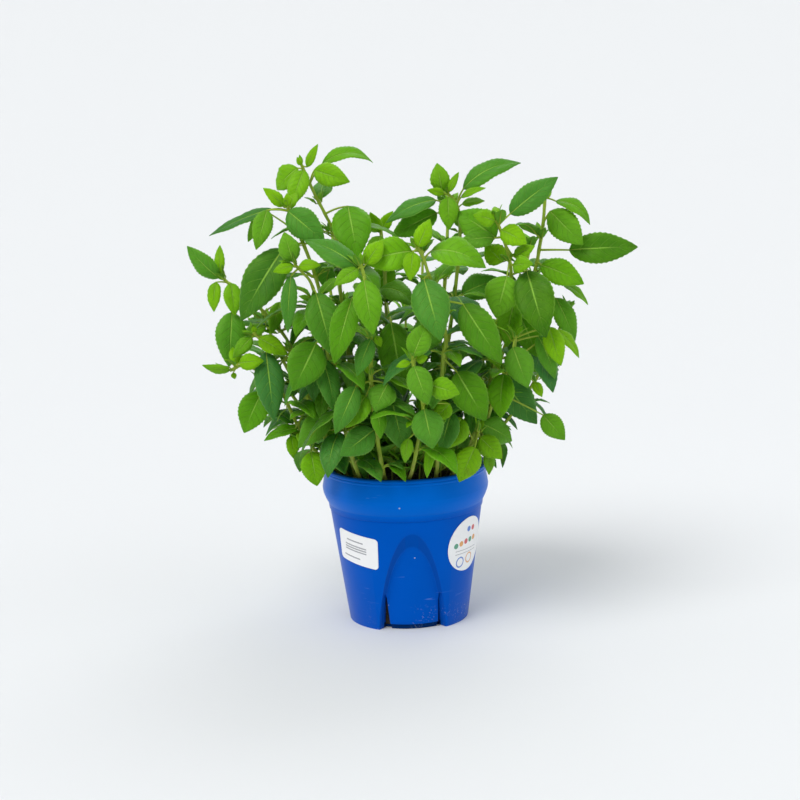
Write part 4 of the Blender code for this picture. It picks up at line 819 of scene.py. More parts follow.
class Leaf:
    """One leaf: its root on the stem, its blade's base and tip, the way its upper face looks, its width."""

    def __init__(self, root, base, tip, face, width, arch=BLADE_ARCH):
        self.root = root
        self.base = base
        self.tip = tip
        self.width = width
        axis = (tip - base).normalized()
        self.face = (face - axis * face.dot(axis)).normalized()
        self.arch = arch

    def middle(self):
        """The point that pulls the midrib's curve towards the blade's upper face."""
        return (self.base + self.tip) / 2 + self.face * (2 * self.arch * (self.tip - self.base).length)

    def spine(self, t):
        """The blade's midrib, a curve from its base to its tip."""
        return self.base * (1 - t) ** 2 + self.middle() * (2 * t * (1 - t)) + self.tip * t ** 2

    def frame(self, t):
        """Direction along the blade, across it, and out of its upper face."""
        along = (self.spine(min(1, t + 0.02)) - self.spine(max(0, t - 0.02))).normalized()
        across = along.cross(self.face).normalized()
        return along, across, across.cross(along).normalized()

    def stations(self):
        """Where the sections stand along the blade: fewer on a smaller one."""
        length = (self.tip - self.base).length
        if length > LARGE_BLADE:
            return LARGE_STATIONS
        return MEDIUM_STATIONS if length > SMALL_BLADE else SMALL_STATIONS

    def half_width(self, t):
        return self.width / 2 * t ** BLADE_BASE_POWER * (1 - t) ** BLADE_TIP_POWER / BLADE_PEAK


def leaf_sections(leaf):
    """The sections along a leaf, from the root: centre, across, up, half width and thickness."""
    along, across, up = leaf.frame(0.0)
    inward = (leaf.root - leaf.base).normalized()
    side = inward.cross(up)
    side = side.normalized() if side.length > 0.1 else across
    side = -side if side.dot(across) < 0 else side
    over = side.cross(-inward).normalized()
    start = leaf.root + inward * 0.5 * MM - over * 0.5 * PETIOLE_HALF
    sections = [(centre, side, over, PETIOLE_HALF, PETIOLE_DEPTH) for centre in (start, leaf.base)]
    for t in leaf.stations():
        along, across, up = leaf.frame(t)
        sections.append((leaf.spine(t), across, up, leaf.half_width(t), BLADE_THICKNESS))
    return sections


def leaf_envelope(leaf, growth, blade_only):
    """A box-sided hull that stands off a leaf all round, for the tests of clearance."""
    sections = leaf_sections(leaf)[1 if blade_only else 0:]
    ahead = (leaf.tip - leaf.base).normalized()
    centre, across, up, half, thickness = sections[-1]
    sections.append((leaf.tip + ahead * growth, across, up, 0.2 * MM, 0.2 * MM))
    verts = []
    for centre, across, up, half, thickness in sections:
        for side, level in ((1, -growth), (1, thickness + growth), (-1, thickness + growth), (-1, -growth)):
            verts.append(centre + across * side * (half + growth) + up * level)
    faces = [(0, 1, 2), (0, 2, 3)]
    end = len(verts) - 4
    faces += [(end, end + 2, end + 1), (end, end + 3, end + 2)]
    for k in range(0, end, 4):
        for corner in range(4):
            a, b = k + corner, k + (corner + 1) % 4
            faces += [(a, b + 4, b), (a, a + 4, b + 4)]
    return verts, faces


def box_of(verts):
    return [min(v[k] for v in verts) for k in range(3)], [max(v[k] for v in verts) for k in range(3)]


class Space:
    """What is already placed, and the test that a new piece is clear of it."""

    def __init__(self):
        self.pieces = []

    def add(self, owner, kind, verts, faces):
        tree = BVHTree.FromPolygons(verts, faces, all_triangles=True)
        self.pieces.append((owner, kind, tree, *box_of(verts)))

    def is_clear(self, owner, verts, faces, blade_verts, blade_faces):
        tree = BVHTree.FromPolygons(verts, faces, all_triangles=True)
        blade = BVHTree.FromPolygons(blade_verts, blade_faces, all_triangles=True)
        low, high = box_of(verts)
        for other, kind, other_tree, other_low, other_high in self.pieces:
            if any(low[k] > other_high[k] or high[k] < other_low[k] for k in range(3)):
                continue
            if kind == ("whole" if other == owner else "blade"):
                continue
            mine = blade if other == owner else tree
            if mine.overlap(other_tree):
                return False
        return True

    def add_leaf(self, owner, leaf):
        self.add(owner, "whole", *leaf_envelope(leaf, 0.0, False))
        self.add(owner, "blade", *leaf_envelope(leaf, 0.0, True))

    def leaf_is_clear(self, owner, leaf):
        whole = leaf_envelope(leaf, TEST_GROWTH, False)
        blade = leaf_envelope(leaf, OWN_GROWTH, True)
        return self.is_clear(owner, *whole, *blade)


# Stems

class Stem:
    """A leafy stem: the points read for it, its line from tip to foot, and the rows of its leaves."""

    def __init__(self, name, read_points, root, rows):
        self.name = name
        self.read_points = read_points
        self.root = root
        self.rows = rows
        self.thinness = 1.0
        self.path = read_points + stem_foot(read_points[-1], root)
        self.leaves = []

    def nodes(self):
        """Points where leaf pairs grow, from the tip down."""
        found = []
        travelled = 0.0
        next_at = 1.5 * PAIR_STEP
        for upper, lower in zip(self.path, self.path[1:]):
            length = (lower - upper).length
            while next_at <= travelled + length:
                point = upper.lerp(lower, (next_at - travelled) / length)
                if point.z < SOIL_TOP + NODE_ABOVE_SOIL:
                    return found
                found.append(point)
                next_at += NODE_SPACING
            travelled += length
        return found


def stem_foot(last, root):
    """The lowest points of a stem: it bends down to its root and stands upright in the soil."""
    foot = Vector((root[0] * MM, root[1] * MM, SOIL_TOP))
    stand = foot + upward(STAND_HEIGHT)
    bend = (last + stand) / 2 - upward(FOOT_SAG * (last - stand).length)
    return [bowed(last, bend, stand, t) for t in FOOT_SHARES] + [foot - upward(HOLE_DEPTH)]


def front_stems():
    stems = []
    for name, path, root, rows in FRONT_STEMS:
        stems.append(Stem(name, [seen_at(*point) for point in path], root, rows))
    return stems


def back_stems():
    stems = []
    for k, (bearing, reach, height, root_reach) in enumerate(BACK_STEMS):
        outward = compass(math.radians(bearing))
        top = height * MM
        while not inside_outline(outward * reach * MM + upward(top + BACK_TIP_ROOM)):
            top -= BACK_TIP_STEP
        tip = outward * reach * MM + upward(top)
        stand = outward * root_reach * MM + upward(SOIL_TOP + STAND_HEIGHT)
        bulge = outward * (root_reach + BACK_BULGE_OUT * (reach - root_reach)) * MM
        bulge += upward(SOIL_TOP + BACK_BULGE_UP * (top - SOIL_TOP))
        points = [bowed(tip, bulge, stand, t) for t in BACK_SHARES]
        stems.append(Stem(f"rear_{k + 1:02d}", points, (stand.x / MM, stand.y / MM), ()))
    return stems


def with_radii(points):
    """A stem's points with its radius at each, from its tip down."""
    line = []
    travelled = 0.0
    previous = points[0]
    for place in points:
        travelled += (place - previous).length
        previous = place
        share = min(1.0, travelled / STEM_THICKENING)
        line.append((place, STEM_TIP_RADIUS + (STEM_ROOT_RADIUS - STEM_TIP_RADIUS) * share))
    return line


def stem_tube(stem):
    """The bare stem as points and triangles: a square tube that thins towards its tip."""
    line = [(place, radius / STEM_ROOT_RADIUS) for place, radius in with_radii(stem.path)]
    end = (stem.path[0] - stem.path[1]).normalized() * STEM_END
    line[0] = (line[0][0] + end, line[0][1])
    holder = line_object(stem.name + "_curve", [line])
    holder.data.bevel_depth = STEM_ROOT_RADIUS
    holder.data.bevel_resolution = 0
    holder.data.use_fill_caps = True
    tube = made_plain(holder, stem.name)
    bm = bmesh.new()
    bm.from_mesh(tube.data)
    bmesh.ops.remove_doubles(bm, verts=bm.verts, dist=0.01 * MM)
    bmesh.ops.triangulate(bm, faces=bm.faces)
    bm.to_mesh(tube.data)
    bm.free()
    verts = [v.co.copy() for v in tube.data.vertices]
    faces = [tuple(p.vertices) for p in tube.data.polygons]
    bpy.data.objects.remove(tube)
    return verts, faces


def read_leaf(stem, row, level, base_shift, tip_shift, roll_shift):
    """A leaf from a row of the table, slid in depth along the lines of sight. Pairs grow level by level."""
    point, base_x, base_y, tip_x, tip_y, base_depth, tip_depth, width, roll = row[:9]
    arch = row[9] if len(row) > 9 else BLADE_ARCH
    root = stem.read_points[point]
    downward = (stem.path[point + 1] - root).normalized()
    root = root + downward * PAIR_STEP * level
    depth = root.y / MM
    base = seen_at(base_x, base_y, depth + base_depth + base_shift)
    tip = seen_at(tip_x, tip_y, depth + tip_depth + tip_shift)
    axis = (tip - base).normalized()
    towards = (EYE - (base + tip) / 2).normalized()
    face = (towards - axis * towards.dot(axis)).normalized()
    across = axis.cross(face)
    sign = 1 if across.z > 0 else -1
    angle = math.radians(roll * sign + roll_shift)
    face = face * math.cos(angle) + across * math.sin(angle)
    return Leaf(root, base, tip, face, width * MM, arch)


# Trials of a leaf that was read: shifts of its base and tip along the lines of sight in mm, and of its
# roll in degrees
READ_SHIFTS = (
    (0, 0, 0), (0, -8, 0), (0, 8, 0), (-5, -5, 0), (5, 5, 0), (0, 0, 14), (0, 0, -14), (-8, -16, 0),
    (8, 16, 0), (0, -8, 14), (0, 8, -14), (-10, -10, 0), (10, 10, 0), (-5, -16, -14), (5, 16, 14),
    (-16, -24, 0), (16, 24, 0), (-16, -16, 14), (16, 16, -14), (0, -20, 20), (0, 20, -20), (-24, -30, 0),
    (24, 30, 0), (-8, -28, 25), (8, 28, -25), (-32, -40, 0), (30, 40, 0),
)


def rule_leaf(point, bearing, order, size, vary):
    """A leaf by rule: small and raised near the tip, long and drooping lower down."""
    turn, lift, scale = vary
    scale = scale * size
    length_mm, rise_degrees, stalk_mm = RULE_LEAVES[min(order, len(RULE_LEAVES) - 1)]
    length = length_mm * MM * scale
    outward = compass(bearing + turn)
    upright = upward(1)
    rise = math.radians(rise_degrees) + lift
    stalk_rise = 0.4 * rise + STALK_RISE
    base = point + (outward * math.cos(stalk_rise) + upright * math.sin(stalk_rise)) * stalk_mm * MM
    tip = base + (outward * math.cos(rise) + upright * math.sin(rise)) * length
    return Leaf(point, base, tip, upright + outward * 0.25, length * RULE_WIDTH, RULE_ARCH)


def grow_leaves(stems, space):
    """Places the leaves read from the photograph, then pairs by rule, then smaller leaves between them."""
    for stem in stems:
        seen = {}
        for row in stem.rows:
            level = seen.get(row[0], 0)
            seen[row[0]] = level + 0.5
            for base_shift, tip_shift, roll_shift in READ_SHIFTS:
                leaf = read_leaf(stem, row, int(level), base_shift, tip_shift, roll_shift)
                if space.leaf_is_clear(stem.name, leaf):
                    stem.leaves.append(leaf)
                    space.add_leaf(stem.name, leaf)
                    break
    draw = random.Random(SEED)
    for order in range(len(RULE_LEAVES) + 1):
        for number, stem in enumerate(stems):
            nodes = stem.nodes()
            if order >= len(nodes):
                continue
            first = number * STEM_TURN + order * math.pi / 2 + draw.uniform(-PAIR_SPREAD, PAIR_SPREAD)
            for bearing in (first, first + math.pi):
                if not taken(stem, nodes[order], bearing):
                    place_by_rule(stem, nodes[order], bearing, order, 1.0, space, draw)
    for number, stem in enumerate(stems):
        for order, point in enumerate(stem.nodes()[AXIL_FIRST:], AXIL_FIRST):
            bearing = number * STEM_TURN + (order + 1) * math.pi / 2
            bearing += math.pi if math.sin(bearing) > 0 else 0
            if not taken(stem, point, bearing):
                place_by_rule(stem, point, bearing, order, AXIL_SIZE, space, draw)


def taken(stem, point, bearing):
    """Whether a leaf already grows near a point of the stem towards about the same bearing."""
    for leaf in stem.leaves:
        if (leaf.root - point).length > TAKEN_DISTANCE:
            continue
        out = leaf.tip - leaf.root
        gap = (math.atan2(out.y, out.x) - bearing + math.pi) % (2 * math.pi) - math.pi
        if abs(gap) < TAKEN_TURN:
            return True
    return False


def place_by_rule(stem, point, bearing, order, size, space, draw):
    """Tries a leaf in slightly different places and sizes, and keeps the first that finds room."""
    for attempt in range(RULE_TRIALS):
        turn = draw.uniform(-TRIAL_TURN, TRIAL_TURN) * attempt
        lift = draw.uniform(-TRIAL_LIFT, TRIAL_LIFT) * attempt
        vary = (turn, lift, 1.0 - TRIAL_SHRINK * attempt)
        leaf = rule_leaf(point, bearing, order, size, vary)
        centre = leaf.spine(0.5)
        across = leaf.frame(0.5)[1] * leaf.width / 2
        if not all(inside_outline(place) for place in (leaf.tip, centre + across, centre - across)):
            continue
        if leaf.tip.z > LOWEST_TIP and space.leaf_is_clear(stem.name, leaf):
            stem.leaves.append(leaf)
            space.add_leaf(stem.name, leaf)
            return


def pot_shell():
    """Plain turned surfaces of the pot and the soil, for the tests of clearance."""
    steps = SHELL_STEPS
    bed = SOIL_TOP + 2 * SOIL_BUMP
    mouth = RIM_RADIUS - WALL
    profile = pot_profile()[-2:0:-1] + [(mouth, POT_HEIGHT), (mouth, bed), (0.1 * MM, bed)]
    verts = []
    for r, z in profile:
        for k in range(steps):
            angle = 2 * math.pi * k / steps
            verts.append(Vector((r * math.cos(angle), r * math.sin(angle), z)))
    faces = []
    for low in range(0, len(verts) - steps, steps):
        for k in range(steps):
            after = (k + 1) % steps
            faces.append((low + k, low + after, low + steps + after))
            faces.append((low + k, low + steps + after, low + steps + k))
    return verts, faces


# The finished leaf, as a rule on a flat form

def blade_form(name, teeth, columns):
    """A closed flat form. Its points hold their place across and along a blade, their side and notch."""
    rows = [(0.0, 0.0)]
    for tooth in range(teeth):
        rows += [((tooth + 0.42) / (teeth + 0.3), 1.0), ((tooth + 1.0) / (teeth + 0.3), 0.0)]
    rows.append((1.0, 0.0))
    values = []
    for side in (1.0, -1.0):
        for share, notch in rows:
            for column in range(columns + 1):
                cut_in = notch if column in (0, columns) else 0.0
                values.append((2 * column / columns - 1, share, side, cut_in))
    mesh = bpy.data.meshes.new(name)
    mesh.from_pydata([value[:3] for value in values], [], closed_sheet(columns, len(rows) - 1))
    for k, label in enumerate(("blade_across", "blade_along", "blade_side", "blade_notch")):
        layer = mesh.attributes.new(label, "FLOAT", "POINT")
        layer.data.foreach_set("value", [value[k] for value in values])
    leaf_map = mesh.uv_layers.new(name="leaf_map")
    for loop in mesh.loops:
        across, share, side, notch = values[loop.vertex_index]
        leaf_map.data[loop.index].uv = ((across + 1) / 2, share)
    return bpy.data.objects.new(name, mesh)


def blade_heights(given, across, along, half):
    """How far each point of a blade stands above its spine: its fold, its waved margins and its quilting."""
    edge = abs(across)
    seed = carried(given.tree, "leaf_seed")
    fold = edge * half * given["Fold"]
    curl = edge ** CURL_POWER * half * seed.times_plus(CURL_SPREAD, CURL_LEAST)
    turn = along.times_plus(WAVE_TURN, seed * WAVE_SPREAD) + across * WAVE_SKEW
    wave = maths("SINE", turn) * (edge * half) * given["Margin Wave"]
    lean = edge ** VEIN_BOW * given["Vein Lean"]
    phase = (along - lean) * given["Vein Pairs"]
    swell = abs(maths("SINE", phase * math.pi)) * (edge * (1.0 - edge) * 4.0) * given["Quilting"]
    swell = swell * maths("MINIMUM", half / FULL_QUILTING_HALF, 1.0)
    return fold - curl + wave + swell


def flat_blades(tree, given):
    """A flat form on each leaf point: the large form, or the small one where the leaf is short."""
    is_small = put(tree, "FunctionNodeCompare", {"A": carried(tree, "leaf_length"), "B": given["Small Leaf"]},
                   data_type="FLOAT", operation="LESS_THAN")["Result"]
    is_large = put(tree, "FunctionNodeBooleanMath", {0: is_small}, operation="NOT")[0]
    groups = []
    for label, chosen in (("Large Form", is_large), ("Small Form", is_small)):
        inputs = {"Points": given["Geometry"], "Selection": chosen, "Instance": form_of(given, label)}
        groups.append(put(tree, "GeometryNodeInstanceOnPoints", inputs)["Instances"])
    return realized(joined(groups))


def blade_places(tree, given):
    """Where the points of the flat forms go, so that each becomes a bowed, toothed blade."""
    base, middle, tip, face = (
        carried(tree, "leaf_" + part, "FLOAT_VECTOR") for part in ("base", "middle", "tip", "face"))
    across, along, side, notch = (
        carried(tree, "blade_" + part) for part in ("across", "along", "side", "notch"))
    rest = 1.0 - along
    first = scaled(base, rest * rest)
    second = scaled(middle, rest * along * 2.0)
    third = scaled(tip, along * along)
    spine = vector_maths("ADD", vector_maths("ADD", first, second), third)
    near = scaled(vector_maths("SUBTRACT", middle, base), rest)
    far = scaled(vector_maths("SUBTRACT", tip, middle), along)
    forward = vector_maths("NORMALIZE", vector_maths("ADD", near, far))
    sideways = vector_maths("NORMALIZE", vector_maths("CROSS_PRODUCT", forward, face))
    outwards = vector_maths("CROSS_PRODUCT", sideways, forward)

    shape = along ** BLADE_BASE_POWER * rest ** BLADE_TIP_POWER
    shape = shape * (along ** TIP_POINT_POWER).times_plus(-TIP_POINT, 1.0)
    half = carried(tree, "leaf_width") / (2 * BLADE_PEAK) * shape + rest.times_plus(*LEAST_HALF)
    tooth = notch * given["Tooth Depth"] * maths("MINIMUM", half / FULL_TOOTH_HALF, 1.0)
    reach = across * (half - tooth)
    height = blade_heights(given, across, along, half)
    skin = side * abs(across).times_plus(-MARGIN_THINNING, 1.0) * (given["Blade Thickness"] * 0.5)
    place = vector_maths("ADD", spine, scaled(sideways, reach))
    return vector_maths("ADD", place, scaled(outwards, height + skin))


def line_skins(tree, given):
    """Skins on the lines: square with rounded edges on the stem's, and round on the stalks'."""
    square = put(tree, "GeometryNodeCurvePrimitiveQuadrilateral", {"Width": 1.5, "Height": 1.5})[0]
    rounding = {"Curve": square, "Count": 3, "Radius": 0.32}
    square = put(tree, "GeometryNodeFilletCurve", rounding, mode="POLY")[0]
    ring = put(tree, "GeometryNodeCurvePrimitiveCircle", {"Resolution": 7, "Radius": 1.0})[0]
    skins = []
    for label, profile in (("Stem Line", square), ("Stalk Lines", ring)):
        skin = put(tree, "GeometryNodeCurveToMesh", {
            "Curve": form_of(given, label), "Profile Curve": profile,
            "Scale": put(tree, "GeometryNodeInputRadius")[0], "Fill Caps": True})[0]
        skins.append(coated(skin, given["Stem Finish"]))
    return skins


def leafy_stem_tree():
    """Geometry nodes that put a shaped blade on each leaf point, and skins on the stem and its stalks."""
    tree, given, result = new_tree("leafy_stem", "GeometryNodeTree", (
        ("Geometry", "Geometry", None), ("Large Form", "Object", None), ("Small Form", "Object", None),
        ("Stem Line", "Object", None), ("Stalk Lines", "Object", None), ("Leaf Finish", "Material", None),
        ("Stem Finish", "Material", None), ("Blade Thickness", "Float", FINE_BLADE),
        ("Tooth Depth", "Float", TOOTH_DEPTH), ("Small Leaf", "Float", SMALL_LEAF), ("Fold", "Float", FOLD),
        ("Margin Wave", "Float", MARGIN_WAVE), ("Quilting", "Float", QUILTING),
        ("Vein Pairs", "Float", VEIN_PAIRS), ("Vein Lean", "Float", VEIN_LEAN),
    ), (("Geometry", "Geometry"),))
    blades = flat_blades(tree, given)
    places = {"Geometry": blades, "Position": blade_places(tree, given)}
    blades = coated(put(tree, "GeometryNodeSetPosition", places)[0], given["Leaf Finish"])
    whole = joined([blades] + line_skins(tree, given))
    smooth = put(tree, "GeometryNodeSetShadeSmooth", {"Geometry": whole})[0]
    wire(tree, result, {0: realized(smooth)})
    return tree


def set_inputs(modifier, values):
    """Sets a geometry modifier's named inputs by their sockets' identifiers."""
    for item in modifier.node_group.interface.items_tree:
        if item.item_type == "SOCKET" and item.in_out == "INPUT" and item.name in values:
            modifier[item.identifier] = values[item.name]


def line_object(name, lines):
    """A curve object of open lines, each a list of (point, radius)."""
    curve = bpy.data.curves.new(name, "CURVE")
    curve.dimensions = "3D"
    for line in lines:
        spline = curve.splines.new("POLY")
        spline.points.add(len(line) - 1)
        for point, (place, radius) in zip(spline.points, line):
            point.co = (*place, 1.0)
            point.radius = radius
    obj = bpy.data.objects.new(name, curve)
    bpy.context.scene.collection.objects.link(obj)
    return obj


def smoothed(points, steps):
    """A line through the points, rounded by a curve between each two of them."""
    ends = [points[0] * 2 - points[1]] + list(points) + [points[-1] * 2 - points[-2]]
    line = []
    for a, b, c, d in zip(ends, ends[1:], ends[2:], ends[3:]):
        for step in range(steps):
            t = step / steps
            line.append(0.5 * (2 * b + (c - a) * t + (2 * a - 5 * b + 4 * c - d) * t * t
                               + (3 * b - 3 * c + d - a) * t ** 3))
    line.append(points[-1])
    return line


def stem_line(stem):
    """The stem's line with its radii: thinner to the tip, a little swollen where leaves grow."""
    end = (stem.path[0] - stem.path[1]).normalized() * STEM_END * 0.6
    line = []
    for place, radius in with_radii(smoothed([stem.path[0] + end] + stem.path[1:], 6)):
        nearest = min((place - leaf.root).length for leaf in stem.leaves)
        radius *= JOINT_LEAST + JOINT_SWELLING * math.exp(-(nearest / JOINT_REACH) ** 2)
        line.append((place, radius * stem.thinness))
    return line


def stalk_line(leaf):
    """A leaf's stalk, from inside the stem to the blade, running on under the blade as its midrib."""
    up = leaf.frame(0.0)[2]
    bow = (leaf.base - leaf.root).length * STALK_BOW
    line = []
    for step in range(5):
        t = step / 5
        place = leaf.root.lerp(leaf.base, t) + up * bow * math.sin(math.pi * t)
        line.append((place - up * MIDRIB_DROP * t, (0.95 - 0.25 * t) * MM * leaf.stalk))
    for step in range(7):
        t = 0.9 * step / 6
        place = leaf.spine(t) - leaf.frame(t)[2] * MIDRIB_DROP
        line.append((place, (0.70 - 0.55 * step / 6) * MM * leaf.stalk))
    return line


def tuft_leaves(stem, draw):
    """Tiny new leaves that stand round a stem's tip and in the angles of its upper leaves."""
    up = (stem.path[0] - stem.path[1]).normalized()
    side = up.orthogonal().normalized()
    found = []
    for place, tuft in [(stem.path[0], TIP_TUFT)] + [(point, JOINT_TUFT) for point in stem.nodes()[1:5]]:
        count, least, most, spread = tuft
        first = draw.uniform(0, math.pi)
        for k in range(count):
            turn = first + 2 * math.pi * k / count + draw.uniform(-0.2, 0.2)
            outward = side * math.cos(turn) + up.cross(side) * math.sin(turn)
            length = draw.uniform(least, most) * MM
            heading = (up + outward * (spread + draw.uniform(-0.1, 0.25))).normalized()
            base = place + outward * 1.6 * MM + heading * 1.5 * MM
            end = base + heading * length
            if inside_outline(end) and inside_outline(base):
                leaf = Leaf(place, base, end, up - outward * 0.4, length * TUFT_WIDTH, TUFT_ARCH)
                leaf.tone = draw.uniform(0.0, 0.2)
                leaf.stalk = 0.55
                found.append(leaf)
    return found


def set_tones(stem, draw):
    """Young leaves are small and bright, and old ones are large, low and dark. Leaves of the stems behind are
    painted darker as shade.
    """
    for leaf in stem.leaves:
        size = min(1.0, (leaf.tip - leaf.base).length / OLD_LENGTH)
        age = min(1.0, (leaf.root - stem.path[0]).length / OLD_REACH)
        # Painted shade: the leaves of the stems behind are darkened as if shaded by those in front
        shade = 0.0 if stem.rows else REAR_PAINTED_SHADE
        tone = SIZE_TONE * size ** SIZE_POWER + AGE_TONE * age - YOUNG_TONE + shade
        leaf.tone = min(1.0, max(0.0, tone + draw.uniform(-TONE_SPREAD, TONE_SPREAD)))
        leaf.stalk = 0.6 + 0.4 * size


def leafy_piece(name, stems, leaves, tree, forms, finishes, draw):
    """Finished stems with their leaves, as one mesh."""
    host = mesh_object(name + "_host", [leaf.base for leaf in leaves], [])
    vectors = {
        "leaf_base": [leaf.base for leaf in leaves], "leaf_tip": [leaf.tip for leaf in leaves],
        "leaf_middle": [leaf.middle() for leaf in leaves], "leaf_face": [leaf.face for leaf in leaves],
    }
    numbers = {
        "leaf_width": [leaf.width for leaf in leaves], "leaf_tone": [leaf.tone for leaf in leaves],
        "leaf_length": [(leaf.tip - leaf.base).length for leaf in leaves],
        "leaf_seed": [draw.random() for leaf in leaves],
    }
    for label, values in vectors.items():
        layer = host.data.attributes.new(label, "FLOAT_VECTOR", "POINT")
        layer.data.foreach_set("vector", [part for value in values for part in value])
    for label, values in numbers.items():
        host.data.attributes.new(label, "FLOAT", "POINT").data.foreach_set("value", values)
    stem_curve = line_object(name + "_stem_line", [stem_line(stem) for stem in stems])
    stalk_curves = line_object(name + "_stalk_lines", [stalk_line(leaf) for leaf in leaves])
    modifier = host.modifiers.new("Leafy Stem", "NODES")
    modifier.node_group = tree
    set_inputs(modifier, {
        "Large Form": forms[0], "Small Form": forms[1], "Stem Line": stem_curve, "Stalk Lines": stalk_curves,
        "Leaf Finish": finishes[0], "Stem Finish": finishes[1],
    })
    piece = made_plain(host, name)
    for label in list(vectors) + ["leaf_width", "leaf_length", "blade_across", "blade_along", "blade_notch"]:
        layer = piece.data.attributes.get(label)
        if layer is not None:
            piece.data.attributes.remove(layer)
    bpy.data.objects.remove(stem_curve)
    bpy.data.objects.remove(stalk_curves)
    return piece


# Effects that several finishes share

def mottling_group():
    """A cloudy mask, by its scale and its contrast."""
    tree, given, result = new_tree("mottling", "ShaderNodeTree", (
        ("Coordinates", "Vector", None), ("Scale", "Float", 60.0), ("Contrast", "Float", 2.0),
    ), (("Mask", "Float"),))
    noise = put(tree, "ShaderNodeTexNoise", {
        "Vector": given["Coordinates"], "Scale": given["Scale"], "Detail": 4.0, "Roughness": 0.6})["Fac"]
    mask = put(tree, "ShaderNodeMath", {0: noise - 0.5, 1: given["Contrast"], 2: 0.5},
               operation="MULTIPLY_ADD", use_clamp=True)[0]
    wire(tree, result, {"Mask": mask})
    return tree


def speck_group():
    """Sparse small specks, by their spacing and how many of the places hold one."""
    tree, given, result = new_tree("specks", "ShaderNodeTree", (
        ("Coordinates", "Vector", None), ("Scale", "Float", 300.0), ("Share", "Float", 0.1),
        ("Size", "Float", 0.2),
    ), (("Mask", "Float"),))
    cells = put(tree, "ShaderNodeTexVoronoi", {"Vector": given["Coordinates"], "Scale": given["Scale"]})
    parts = put(tree, "ShaderNodeSeparateColor", {0: cells["Color"]})
    dot = cells["Distance"] < given["Size"] * parts[1].times_plus(0.8, 0.4)
    wire(tree, result, {"Mask": (parts[0] < given["Share"]) * dot})
    return tree


def scratch_group():
    """Thin scratches that run round or up a wall, seen only in patches."""
    tree, given, result = new_tree("scratches", "ShaderNodeTree", (
        ("Coordinates", "Vector", None), ("Scale", "Float", 60.0), ("Stretch", "Float", 0.05),
        ("Amount", "Float", 0.5),
    ), (("Mask", "Float"),))
    parts = split(given["Coordinates"])
    flat = put(tree, "ShaderNodeCombineXYZ", {
        "X": parts["X"] * given["Stretch"], "Y": parts["Y"] * given["Stretch"], "Z": parts["Z"]})[0]
    lines = put(tree, "ShaderNodeTexNoise", {
        "Vector": flat, "Scale": given["Scale"] * 12.0, "Detail": 2.0, "Distortion": 0.6})["Fac"]
    patch = put(tree, "ShaderNodeTexNoise", {
        "Vector": given["Coordinates"], "Scale": given["Scale"], "Detail": 3.0})["Fac"]
    mask = ramp(lines, 0.66, 0.72) * ramp(patch, 0.52, 0.66) * given["Amount"]
    wire(tree, result, {"Mask": mask})
    return tree


def vein_group():
    """Midrib and side veins of a leaf from its map, and the relief that they make."""
    tree, given, result = new_tree("leaf_veins", "ShaderNodeTree", (
        ("Map", "Vector", None), ("Pairs", "Float", VEIN_PAIRS), ("Lean", "Float", VEIN_LEAN),
        ("Midrib Width", "Float", 0.075), ("Vein Width", "Float", 0.075),
    ), (("Midrib", "Float"), ("Side Veins", "Float"), ("Relief", "Float"), ("Edge", "Float")))
    parts = split(given["Map"])
    along = parts["Y"]
    edge = abs(parts["X"].times_plus(2.0, -1.0))
    width = given["Midrib Width"] * (1.35 - along)
    midrib = ramp(edge, width * 0.25, width, 1.0, 0.0) * ramp(along, 0.42, 0.78, 1.0, 0.12)
    lean = edge ** VEIN_BOW * given["Lean"]
    place = maths("PINGPONG", (along - lean) * given["Pairs"], 0.5)
    thin = given["Vein Width"] * (1.25 - edge)
    veins = ramp(place, thin * 0.2, thin, 1.0, 0.0) * ramp(edge, 0.72, 0.98, 1.0, 0.0)
    web = put(tree, "ShaderNodeTexVoronoi", {
        "Vector": vector_maths("MULTIPLY", given["Map"], (9.0, 26.0, 1.0)), "Scale": 1.6},
        feature="DISTANCE_TO_EDGE")["Distance"]
    sunk = midrib + veins * 0.6 + ramp(web, 0.0, 0.12, 1.0, 0.0) * 0.12
    wire(tree, result, {"Midrib": midrib, "Side Veins": veins, "Edge": edge, "Relief": sunk * -1.0})
    return tree


EFFECTS = {"mottling": mottling_group(), "specks": speck_group(), "scratches": scratch_group(),
           "leaf_veins": vein_group()}


def effect(name, inputs):
    """A shared effect in the tree that its inputs come from."""
    tree = tree_of(inputs.values())
    node = tree.nodes.new("ShaderNodeGroup")
    node.node_tree = EFFECTS[name]
    wire(tree, node.inputs, inputs)
    return MadeNode(tree, node)


def mottled(place, scale, contrast):
    """A cloudy mask."""
    return effect("mottling", {"Coordinates": place, "Scale": scale, "Contrast": contrast})["Mask"]


def specked(place, scale, share, size):
    """A mask of sparse specks."""
    return effect("specks", {"Coordinates": place, "Scale": scale, "Share": share, "Size": size})["Mask"]


def new_finish(name, roughness, **shader_values):
    """A material, its tree, its shader's inputs and the object's own coordinates."""
    finish = bpy.data.materials.new(name)
    finish.use_nodes = True
    tree = finish.node_tree
    skin = tree.nodes["Principled BSDF"].inputs
    wire(tree, skin, {"Roughness": roughness})
    wire(tree, skin, {socket.replace("_", " "): value for socket, value in shader_values.items()})
    return finish, tree, skin, put(tree, "ShaderNodeTexCoord")["Object"]


def add_relief(skin, height, distance, strength=1.0):
    """Feeds a bump to a shader's normal."""
    bump = put(height.tree, "ShaderNodeBump", {"Height": height, "Distance": distance, "Strength": strength})
    wire(height.tree, skin, {"Normal": bump["Normal"]})


# Finishes

